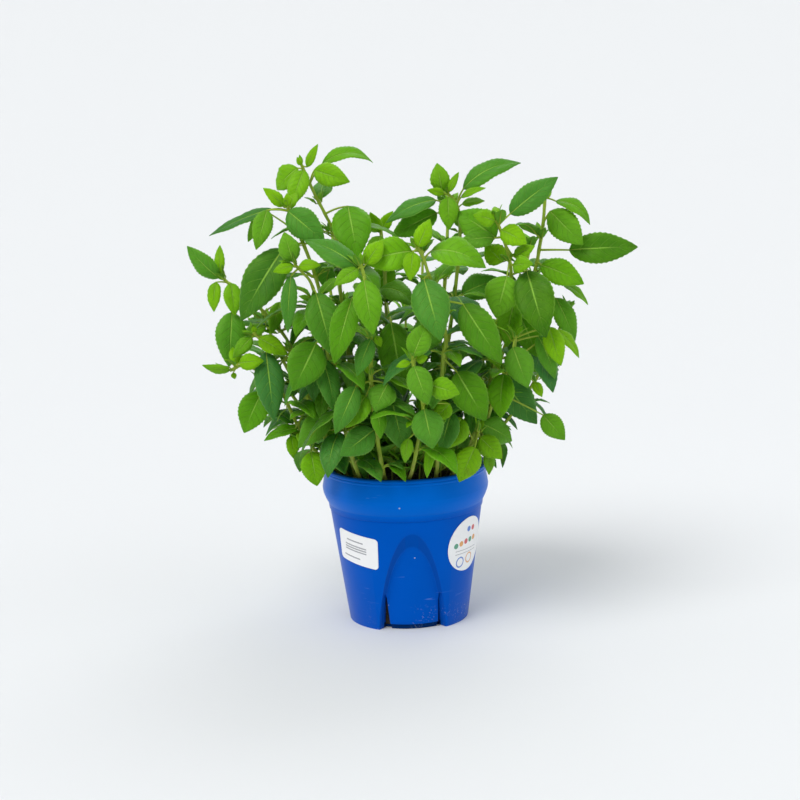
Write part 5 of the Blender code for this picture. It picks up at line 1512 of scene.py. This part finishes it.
def leaf_finish():
    """Satin mint leaf: bright when young, dark when old, paler veins and a dull pale underside."""
    finish, tree, skin, place = new_finish(
        "peppermint_leaf", 0.42, Subsurface_Weight=0.14, Subsurface_Scale=0.0016, Specular_IOR_Level=0.30,
        Specular_Tint=(0.75, 1.0, 0.35, 1.0), Subsurface_Radius=(0.6, 1.0, 0.15))
    veins = effect("leaf_veins", {"Map": put(tree, "ShaderNodeUVMap", uv_map="leaf_map")["UV"]})
    tone = attribute(tree, "leaf_tone")
    seed = attribute(tree, "leaf_seed")
    under = attribute(tree, "blade_side") < 0.0
    age = put(tree, "ShaderNodeValToRGB", {"Fac": tone})
    stops = age.node.color_ramp.elements
    stops[0].color = YOUNG_GREEN
    stops[1].color = DARK_GREEN
    stops.new(0.5).color = LEAF_GREEN
    cloud = mottled(place, 70.0, 2.0)
    grain = mottled(place, 900.0, 2.0)
    colour = blended(cloud * 0.22, age["Color"], YOUNG_GREEN)
    colour = blended(tone * ramp(seed, 0.15, 0.75), colour, BLUISH_GREEN)
    colour = blended(grain * 0.08, colour, VEIN_GREEN)
    colour = blended(veins["Side Veins"] * 0.24, colour, VEIN_GREEN)
    colour = blended(mottled(place, 34.0, 2.4) * 0.28, colour, DARK_GREEN)
    colour = blended(ramp(veins["Edge"], 0.90, 1.0) * 0.35, colour, VEIN_GREEN)
    colour = blended(veins["Midrib"] * 0.80, colour, VEIN_GREEN)

    low = ramp(split(place)["Z"], SOIL_TOP - 8 * MM, SOIL_TOP + 42 * MM, 1.0, 0.0)
    worn = ramp(mottled(place, 110.0, 3.0), 0.62, 0.95) * low * ramp(seed, 0.35, 0.6)
    colour = blended(worn * 0.6, colour, WORN_BROWN)
    pale = blended(veins["Side Veins"] * 0.5, UNDERSIDE_GREEN, VEIN_GREEN)
    colour = blended(under * 0.75, colour, pale)
    wire(tree, skin, {"Base Color": colour, "Roughness": under.times_plus(0.2, cloud.times_plus(0.14, 0.34))})
    add_relief(skin, grain.times_plus(0.12, veins["Relief"]), 0.55 * MM)
    return finish


def stem_finish():
    """Stems and leaf stalks: yellow-green, turning tan and woody near the soil."""
    finish, tree, skin, place = new_finish(
        "peppermint_stem", 0.5, Subsurface_Weight=0.08, Subsurface_Scale=0.001, Specular_IOR_Level=0.35,
        Subsurface_Radius=(0.7, 1.0, 0.2))
    height = mottled(place, 90.0, 2.5).times_plus(0.05, split(place)["Z"])
    woody = ramp(height, SOIL_TOP + 14 * MM, SOIL_TOP + 70 * MM, 1.0, 0.0)
    streaks = put(tree, "ShaderNodeTexNoise", {
        "Vector": vector_maths("MULTIPLY", place, (1.0, 1.0, 0.08)), "Scale": 900.0, "Detail": 2.0})["Fac"]
    colour = blended(woody, STEM_GREEN, STEM_TAN)
    wire(tree, skin, {"Base Color": blended(streaks * 0.35, colour, VEIN_GREEN)})
    add_relief(skin, streaks, 0.12 * MM)
    return finish


def pot_finish():
    """Blue moulded plastic with faint mottling, pale scuffs, a few specks, dry dirt near the foot, a collar
    painted lighter as light, and painted shade on the arches' bands and under their panels.
    """
    finish, tree, skin, place = new_finish(
        "blue_pot_plastic", 0.36, Specular_IOR_Level=0.12, Specular_Tint=(0.05, 0.65, 1.0, 1.0))
    parts = split(place)
    height = parts["Z"]
    cloud = mottled(place, 26.0, 1.6)
    grain = mottled(place, 1400.0, 2.0)
    scratches = effect("scratches", {
        "Coordinates": place, "Scale": 34.0, "Stretch": 0.10, "Amount": 0.28})["Mask"]
    patches = ramp(mottled(place, 520.0, 5.0), 0.84, 1.0)
    dirt = ramp(height, 1 * MM, 22 * MM, 1.0, 0.0) * patches * ramp(cloud, 0.45, 0.85, 0.0, 0.6)
    specks = specked(place, 190.0, ramp(height, 10 * MM, 50 * MM, 0.12, 0.03), 0.13)
    colour = blended(cloud * 0.5, POT_BLUE, CLOUD_BLUE)
    # Painted light: the collar is painted a lighter blue than the body, as if it caught more light
    collar_painted_light = ramp(height, COLLAR_FOOT - 4 * MM, COLLAR_FOOT + 3 * MM, 0.0, 0.75)
    colour = blended(collar_painted_light, colour, COLLAR_PAINTED_LIGHT_BLUE)

    # Painted shade: the sloping band of each arched recess is darkened, as if in its own shadow
    taper = (body_radius(COLLAR_FOOT) - BASE_RADIUS) / COLLAR_FOOT
    reach = maths("SQRT", parts["X"] * parts["X"] + parts["Y"] * parts["Y"])
    depth = height.times_plus(taper, BASE_RADIUS) - reach
    band = ramp(depth, 0.2 * MM, 0.8 * MM) * ramp(depth, 3.9 * MM, 4.7 * MM, 1.0, 0.0)
    colour = blended(band * 0.40, colour, BAND_PAINTED_SHADE_BLUE)
    # Painted shade: the low gap under each panel is painted near black, as if in deep shadow
    gap = ramp(depth, 5.6 * MM, 6.3 * MM) * (height < TOE_HEIGHT + 0.2 * MM)
    colour = blended(gap * 0.85, colour, GAP_PAINTED_SHADE_BLUE)
    colour = blended(scratches, colour, POT_SCUFF)
    colour = blended(dirt, colour, DRY_DIRT)
    colour = blended(specks * 0.7, colour, DRY_DIRT)
    rough = dirt.times_plus(0.5, cloud.times_plus(0.10, 0.30))
    wire(tree, skin, {"Base Color": colour, "Roughness": scratches.times_plus(0.4, rough)})
    add_relief(skin, grain.times_plus(0.25, cloud * 0.6), 0.10 * MM, 0.5)
    return finish


def soil_finish(name, base, pale, scale):
    """Moist crumbly soil, dark with paler fibres and grit."""
    finish, tree, skin, place = new_finish(name, 0.92, Specular_IOR_Level=0.25)
    cloud = mottled(place, scale, 3.0)
    colour = blended(cloud * 0.25, base, pale)
    wire(tree, skin, {"Base Color": blended(specked(place, scale * 1.5, 0.12, 0.3) * 0.45, colour, pale)})
    add_relief(skin, mottled(place, scale * 4, 3.0).times_plus(0.5, cloud), 0.8 * MM)
    return finish


def sticker_paper(name):
    """A sticker's material, its tree and shader inputs, the place on the sticker and the paper's colour."""
    finish, tree, skin, place = new_finish(name, 0.42, Specular_IOR_Level=0.4)
    parts = split(put(tree, "ShaderNodeUVMap", uv_map="sticker_map")["UV"])
    cloud = mottled(place, 120.0, 1.5)
    wire(tree, skin, {"Roughness": cloud.times_plus(0.1, 0.36)})
    add_relief(skin, mottled(place, 2500.0, 2.0), 0.03 * MM, 0.6)
    return finish, tree, skin, parts["X"], parts["Y"], blended(cloud * 0.12, STICKER_WHITE, PAPER_SHADE)


def ruled(x, y, colour, left, right, low, width, strength):
    """The colour with a thin level grey line on it. Its ends, its lower edge and its width are in mm."""
    line = (x > left * MM) * (x < right * MM) * (y > low * MM) * (y < (low + width) * MM)
    return blended(line * strength, colour, PRINT_GREY)


def price_label_finish():
    """A plain white sticker ruled with thin grey lines, as on a blank form."""
    finish, tree, skin, x, y, colour = sticker_paper("price_sticker")
    for left, right, low in PRICE_LINES:
        colour = ruled(x, y, colour, left, right, low, 1.1, 0.8)
    wire(tree, skin, {"Base Color": colour})
    return finish


def ringed(x, y, colour, mark, radius, width, strength):
    """The colour with a ring on it, or a disc where its width is its radius. Both are in mm."""
    across, up, ink = mark
    across = x - across * MM
    up = y - up * MM
    away = maths("SQRT", across * across + up * up)
    ring = (away < radius * MM) * (away > radius * MM - width * MM)
    return blended(ring * strength, colour, ink)


def round_label_finish():
    """A plain white round sticker with two rows of coloured dots, two thin lines and two small rings."""
    finish, tree, skin, x, y, colour = sticker_paper("round_sticker")
    for mark in LABEL_DOTS:
        colour = ringed(x, y, colour, mark, 2.2, 2.2, 0.9)
    for low in (-4.4, -7.0):
        colour = ruled(x, y, colour, -14, 13, low, 0.6, 0.6)
    for mark in LABEL_RINGS:
        colour = ringed(x, y, colour, mark, 4.4, 1.1, 0.85)
    wire(tree, skin, {"Base Color": colour})
    return finish


def floor_finish():
    return new_finish("pale_floor", 0.7, Specular_IOR_Level=0.2, Base_Color=FLOOR_WHITE)[0]


# Pieces

def fine_profile():
    """The pot's outer side with two fine beads at its rim and a rounded belly on its collar."""
    coarse = pot_profile()
    beads = [coarse[0], (RIM_RADIUS, POT_HEIGHT)]
    for drop, inward in RIM_BEADS:
        beads.append((BEAD_RADIUS - inward, POT_HEIGHT - drop))
    belly = coarse[4:8]
    for cut in range(3):
        rounder = [belly[0]]
        for (r0, z0), (r1, z1) in zip(belly, belly[1:]):
            for share in (0.25, 0.75):
                rounder.append(((1 - share) * r0 + share * r1, (1 - share) * z0 + share * z1))
        belly = rounder + [belly[-1]]
    step = body_radius(NECK_STEP_HEIGHT)
    lip = [(step + NECK_STEP + 0.15 * MM, NECK_STEP_HEIGHT + 0.4 * MM), (step + NECK_STEP, NECK_STEP_HEIGHT),
           (step - 0.3 * MM, NECK_STEP_HEIGHT - 0.3 * MM), (step - 0.3 * MM, NECK_STEP_HEIGHT - 0.9 * MM),
           (body_radius(NECK_STEP_HEIGHT - 1.6 * MM), NECK_STEP_HEIGHT - 1.6 * MM)]
    return beads + belly + lip + coarse[-2:]


def make_pot():
    """The pot with a smooth wall, soft moulded edges, and the same recesses and slits as its solid."""
    pot = turned("pot_form", fine_profile(), POT_STEPS)
    cavity = turned("pot_cavity", cavity_profile(POT_HEIGHT + 10 * MM), POT_STEPS)
    cavity.rotation_euler.z = math.pi / POT_STEPS
    cutters = [cavity]
    for k, turn in enumerate(arch_turns()):
        cutters.append(backing(f"backing_{k}", turn))
        cut(cavity, cutters[-1])
    for k, turn in enumerate(arch_turns()):
        cutters += [recess(f"recess_{k}", turn), toe_cut(f"toe_{k}", turn)]
        cut(pot, cutters[-2])
        cut(pot, cutters[-1])
    cut(pot, cavity)
    for k, turn in enumerate(arch_turns()):
        for side in (-1, 1):
            cutters.append(slit(f"slit_{k}_{side + 1}", turn, side))
            cut(pot, cutters[-1])
    pot = made_plain(pot, "moulded_pot")
    for cutter in cutters:
        bpy.data.objects.remove(cutter)
    tidy_mesh(pot.data, 0.02 * MM)
    bevel = pot.modifiers.new("Moulded Edges", "BEVEL")
    bevel.width = POT_BEVEL
    bevel.segments = 2
    bevel.limit_method = "ANGLE"
    bevel.angle_limit = math.radians(22)
    pot = made_plain(pot, "moulded_pot")
    pot.data.shade_smooth()
    pot.data.set_sharp_from_angle(angle=math.radians(30))
    pot.data.materials.clear()
    pot.data.materials.append(pot_finish())
    return pot


def make_sticker(name, turn, height, tilt, half_height, half_width, finish):
    """A thin sticker that follows the round wall, with its own map in metres from its middle."""
    columns, levels = 48, 12
    verts = []
    places = []
    for offset in (CLEARANCE + STICKER_THICKNESS, CLEARANCE):
        for level in range(levels + 1):
            for column in range(columns + 1):
                along = half_width * math.sin(math.pi / 2 * (2 * column / columns - 1))
                up = half_height(along) * (2 * level / levels - 1)
                turned_along = along * math.cos(tilt) - up * math.sin(tilt)
                turned_up = along * math.sin(tilt) + up * math.cos(tilt)
                verts.append(on_body(turn, turned_along, height + turned_up, offset))
                places.append((along, up))
    sticker = mesh_object(name, verts, closed_sheet(columns, levels))
    wall_map = sticker.data.uv_layers.new(name="sticker_map")
    for loop in sticker.data.loops:
        wall_map.data[loop.index].uv = places[loop.vertex_index]
    sticker.data.shade_smooth()
    sticker.data.set_sharp_from_angle(angle=math.radians(40))
    sticker.data.materials.append(finish)
    return sticker


def price_half_height(along):
    """Half the height of the oblong label with rounded corners."""
    width, tall = PRICE_LABEL_SIZE
    past = max(0.0, abs(along) - (width / 2 - PRICE_LABEL_CORNER))
    return tall / 2 - PRICE_LABEL_CORNER + math.sqrt(max(0.0, PRICE_LABEL_CORNER ** 2 - past ** 2))


def round_half_height(along):
    """Half the height of the round label."""
    return math.sqrt(max((0.02 * ROUND_LABEL_RADIUS) ** 2, ROUND_LABEL_RADIUS ** 2 - along ** 2))


def crumb_tree():
    """Geometry nodes that scatter turned, uneven crumbs over a bed."""
    tree, given, result = new_tree("soil_crumbs", "GeometryNodeTree", (
        ("Geometry", "Geometry", None), ("Crumb", "Object", None), ("Density", "Float", 100000.0),
        ("Least Size", "Float", 0.5 * MM), ("Most Size", "Float", 2.0 * MM), ("Flatness", "Float", 1.0),
        ("Seed", "Int", 1), ("Finish", "Material", None),
    ), (("Geometry", "Geometry"),))
    points = put(tree, "GeometryNodeDistributePointsOnFaces", {
        "Mesh": given["Geometry"], "Density": given["Density"], "Seed": given["Seed"]})["Points"]
    turn = put(tree, "FunctionNodeRandomValue", {0: (0.0, 0.0, 0.0), 1: (6.28, 6.28, 6.28)},
               data_type="FLOAT_VECTOR")[0]
    size = put(tree, "FunctionNodeRandomValue", {2: given["Least Size"], 3: given["Most Size"]},
               data_type="FLOAT")[1]
    form = put(tree, "ShaderNodeCombineXYZ", {"X": size * given["Flatness"], "Y": size, "Z": size})[0]
    placed = put(tree, "GeometryNodeInstanceOnPoints", {
        "Points": points, "Instance": form_of(given, "Crumb"), "Rotation": turn, "Scale": form})[0]
    wire(tree, result, {0: coated(realized(placed), given["Finish"])})
    return tree


def crumb_form():
    """One uneven crumb of radius one."""
    draw = random.Random(SEED)
    bm = bmesh.new()
    bmesh.ops.create_icosphere(bm, subdivisions=1, radius=1.0)
    for vert in bm.verts:
        vert.co *= draw.uniform(0.6, 1.1)
    mesh = bpy.data.meshes.new("crumb_form")
    bm.to_mesh(mesh)
    bm.free()
    return bpy.data.objects.new("crumb_form", mesh)


def soil_bed():
    """The soil's top as a thin open bed to scatter on."""
    rings, turns = 18, 72
    reach = RIM_RADIUS - WALL - 1.8 * MM
    verts = [(0, 0, soil_height(0, 0))]
    for ring in range(1, rings + 1):
        for k in range(turns):
            angle = 2 * math.pi * k / turns
            x, y = reach * ring / rings * math.cos(angle), reach * ring / rings * math.sin(angle)
            verts.append((x, y, soil_height(x, y)))
    faces = [(0, 1 + k, 1 + (k + 1) % turns) for k in range(turns)]
    for ring in range(rings - 1):
        for k in range(turns):
            a = 1 + ring * turns
            b = a + turns
            faces.append((a + k, b + k, b + (k + 1) % turns, a + (k + 1) % turns))
    return verts, faces


def scatter(name, tree, form, finish, **values):
    """A layer of crumbs on the soil."""
    verts, faces = soil_bed()
    bed = mesh_object(name + "_bed", verts, faces)
    modifier = bed.modifiers.new("Crumbs", "NODES")
    modifier.node_group = tree
    settings = {key.replace("_", " "): value for key, value in values.items()}
    settings.update({"Crumb": form, "Finish": finish})
    set_inputs(modifier, settings)
    return made_plain(bed, name)


def make_stage():
    """A pale floor that sweeps up into a backdrop far behind."""
    half, front, back, radius, height = 16.0, -16.0, 5.4, 4.4, 5.0
    line = [(front, 0.0), (back - radius, 0.0)]
    for step in range(1, 25):
        angle = math.pi / 2 * step / 24
        line.append((back - radius + radius * math.sin(angle), radius - radius * math.cos(angle)))
    line.append((back, height))
    verts = []
    for y, z in line:
        verts += [(-half, y, z), (half, y, z)]
    faces = [(2 * k, 2 * k + 1, 2 * k + 3, 2 * k + 2) for k in range(len(line) - 1)]
    floor = mesh_object("pale_sweep", verts, faces)
    floor.data.shade_smooth()
    floor.data.materials.append(floor_finish())


def add_lamp(name, bearing, power, spread, colour):
    """A very large soft lamp far away, by the bearing that it shines from and its spread in degrees."""
    lamp = bpy.data.lights.new(name, "SUN")
    lamp.angle = math.radians(spread)
    lamp.energy = power
    lamp.color = colour
    obj = bpy.data.objects.new(name, lamp)
    obj.rotation_euler = Vector(bearing).to_track_quat("Z", "Y").to_euler()
    bpy.context.scene.collection.objects.link(obj)


def light_and_camera():
    scene = bpy.context.scene
    world = bpy.data.worlds.new("soft_room")
    scene.world = world
    world.use_nodes = True
    tree = world.node_tree
    bearing = split(put(tree, "ShaderNodeTexCoord")["Generated"])["Y"]
    wire(tree, tree.nodes["Background"].inputs, {
        "Color": (0.96, 0.98, 1.0, 1.0), "Strength": ramp(bearing, -0.9, 0.3, 0.32, 0.66)})
    add_lamp("key_lamp", (-0.40, -0.55, 0.85), 2.0, 38, (1.0, 0.99, 0.97))
    add_lamp("fill_lamp", (0.75, -0.60, 0.45), 0.45, 60, (0.95, 0.98, 1.0))
    add_lamp("back_lamp", (0.25, 0.65, 0.75), 0.75, 40, (1.0, 1.0, 1.0))
    scene.view_settings.view_transform = "Standard"
    scene.view_settings.look = "None"
    eye = bpy.data.cameras.new("photo_eye")
    eye.sensor_width = SENSOR_WIDTH
    eye.lens = FOCAL_PX * SENSOR_WIDTH / PICTURE_WIDTH
    eye.clip_start = 0.01
    camera = bpy.data.objects.new("photo_eye", eye)
    forward, right, up = eye_axes()
    turn = Matrix((right, up, -forward)).transposed().to_4x4()
    turn.translation = EYE
    camera.matrix_world = turn
    scene.collection.objects.link(camera)
    scene.camera = camera


def grown_stems():
    """All stems with their leaves, each leaf clear of what stands before it."""
    stems = front_stems() + back_stems()
    space = Space()
    space.add("pot", "whole", *pot_shell())
    for stem in stems:
        tube = stem_tube(stem)
        space.add(stem.name, "whole", *tube)
        space.add(stem.name, "blade", *tube)
    grow_leaves(stems, space)
    draw = random.Random(SEED + 5)
    for turn in range(FILL_ROUNDS):
        for stem in stems:
            fill_gaps(stem, space, draw)
    return stems


def fill_gaps(stem, space, draw):
    """Small leaves on short side shoots, between the leaf pairs and low on the stem."""
    for order, point in enumerate(stem.nodes()[1:]):
        size = draw.uniform(*FILL_SIZES)
        place_by_rule(stem, point, draw.uniform(0, 2 * math.pi), min(order, 3), size, space, draw)


def young_shoots(draw):
    """Short thin shoots that rise from the soil between the stems, most of them near the front rim."""
    shoots = []
    for k in range(SHOOT_COUNT):
        bearing = draw.uniform(*(SHOOT_FRONT if k % 4 else SHOOT_REAR))
        foot = compass(bearing) * draw.uniform(*SHOOT_REACH) * MM + upward(SOIL_TOP)
        lean = Vector((draw.uniform(-1, 1), draw.uniform(-0.8, 0.8), 0)) * SHOOT_LEAN
        rise = upward(draw.uniform(*SHOOT_HEIGHTS))
        points = [foot + lean + rise, foot + lean * 0.35 + rise * 0.62, foot + lean * 0.05 + rise * 0.3]
        shoot = Stem(f"shoot_{k:02d}", points, (foot.x / MM, foot.y / MM), ())
        for order, share in enumerate((0.0, 0.5, 1.0)):
            place = points[0].lerp(points[1], share)
            first = draw.uniform(0, math.pi)
            for turn in (first, first + math.pi):
                vary = (draw.uniform(-0.3, 0.3), draw.uniform(-0.3, 0.3), 1.0)
                leaf = rule_leaf(place, turn, 0, draw.uniform(0.55, 0.85) + 0.2 * order, vary)
                leaf.tone = draw.uniform(0.0, 0.5)
                leaf.stalk = 0.6
                shoot.leaves.append(leaf)
        shoot.thinness = 0.5
        shoots.append(shoot)
    return shoots


def main():
    light_and_camera()
    make_stage()

    pot = make_pot()
    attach(pot, "root")
    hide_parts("pot")

    price = make_sticker("plain_price_sticker", PRICE_LABEL_TURN, PRICE_LABEL_HEIGHT, PRICE_LABEL_TILT,
                         price_half_height, PRICE_LABEL_SIZE[0] / 2, price_label_finish())
    disc = make_sticker("plain_round_sticker", ROUND_LABEL_TURN, ROUND_LABEL_HEIGHT, 0.0, round_half_height,
                        ROUND_LABEL_RADIUS, round_label_finish())
    for piece, node in ((price, "price_label"), (disc, "round_label")):
        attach(piece, "root")
        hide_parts(node)

    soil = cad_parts["soil"]
    soil.data.materials.clear()
    soil.data.materials.append(soil_finish("potting_soil_body", SOIL_DEEP, SOIL_PALE, 220.0))
    crumbs = crumb_tree()
    form = crumb_form()
    soil_crumb = soil_finish("soil_crumb", SOIL_BROWN, SOIL_PALE, 500.0)
    bark = soil_finish("bark_bit", SOIL_PALE, PERLITE_WHITE, 500.0)
    perlite = soil_finish("perlite", PERLITE_WHITE, SOIL_PALE, 700.0)
    layers = (
        scatter("soil_crumbs", crumbs, form, soil_crumb, Density=260000.0, Least_Size=0.5 * MM,
                Most_Size=1.9 * MM, Flatness=1.3, Seed=3),
        scatter("bark_bits", crumbs, form, bark, Density=9000.0, Least_Size=0.4 * MM, Most_Size=0.9 * MM,
                Flatness=3.4, Seed=5),
        scatter("perlite_grains", crumbs, form, perlite, Density=4200.0, Least_Size=0.6 * MM,
                Most_Size=1.3 * MM, Flatness=1.1, Seed=8),
    )
    for piece in layers:
        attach(piece, "root")

    tree = leafy_stem_tree()
    forms = (blade_form("large_blade_form", 13, 8), blade_form("small_blade_form", 6, 4))
    finishes = (leaf_finish(), stem_finish())
    draw = random.Random(SEED + 1)
    for stem in grown_stems():
        set_tones(stem, draw)
        leaves = stem.leaves + tuft_leaves(stem, draw)
        piece = leafy_piece("leafy_" + stem.name, [stem], leaves, tree, forms, finishes, draw)
        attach(piece, "root")
        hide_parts("stem_" + stem.name)
    shoots = young_shoots(draw)
    leaves = [leaf for shoot in shoots for leaf in shoot.leaves]
    piece = leafy_piece("young_shoots", shoots, leaves, tree, forms, finishes, draw)
    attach(piece, "root")


main()
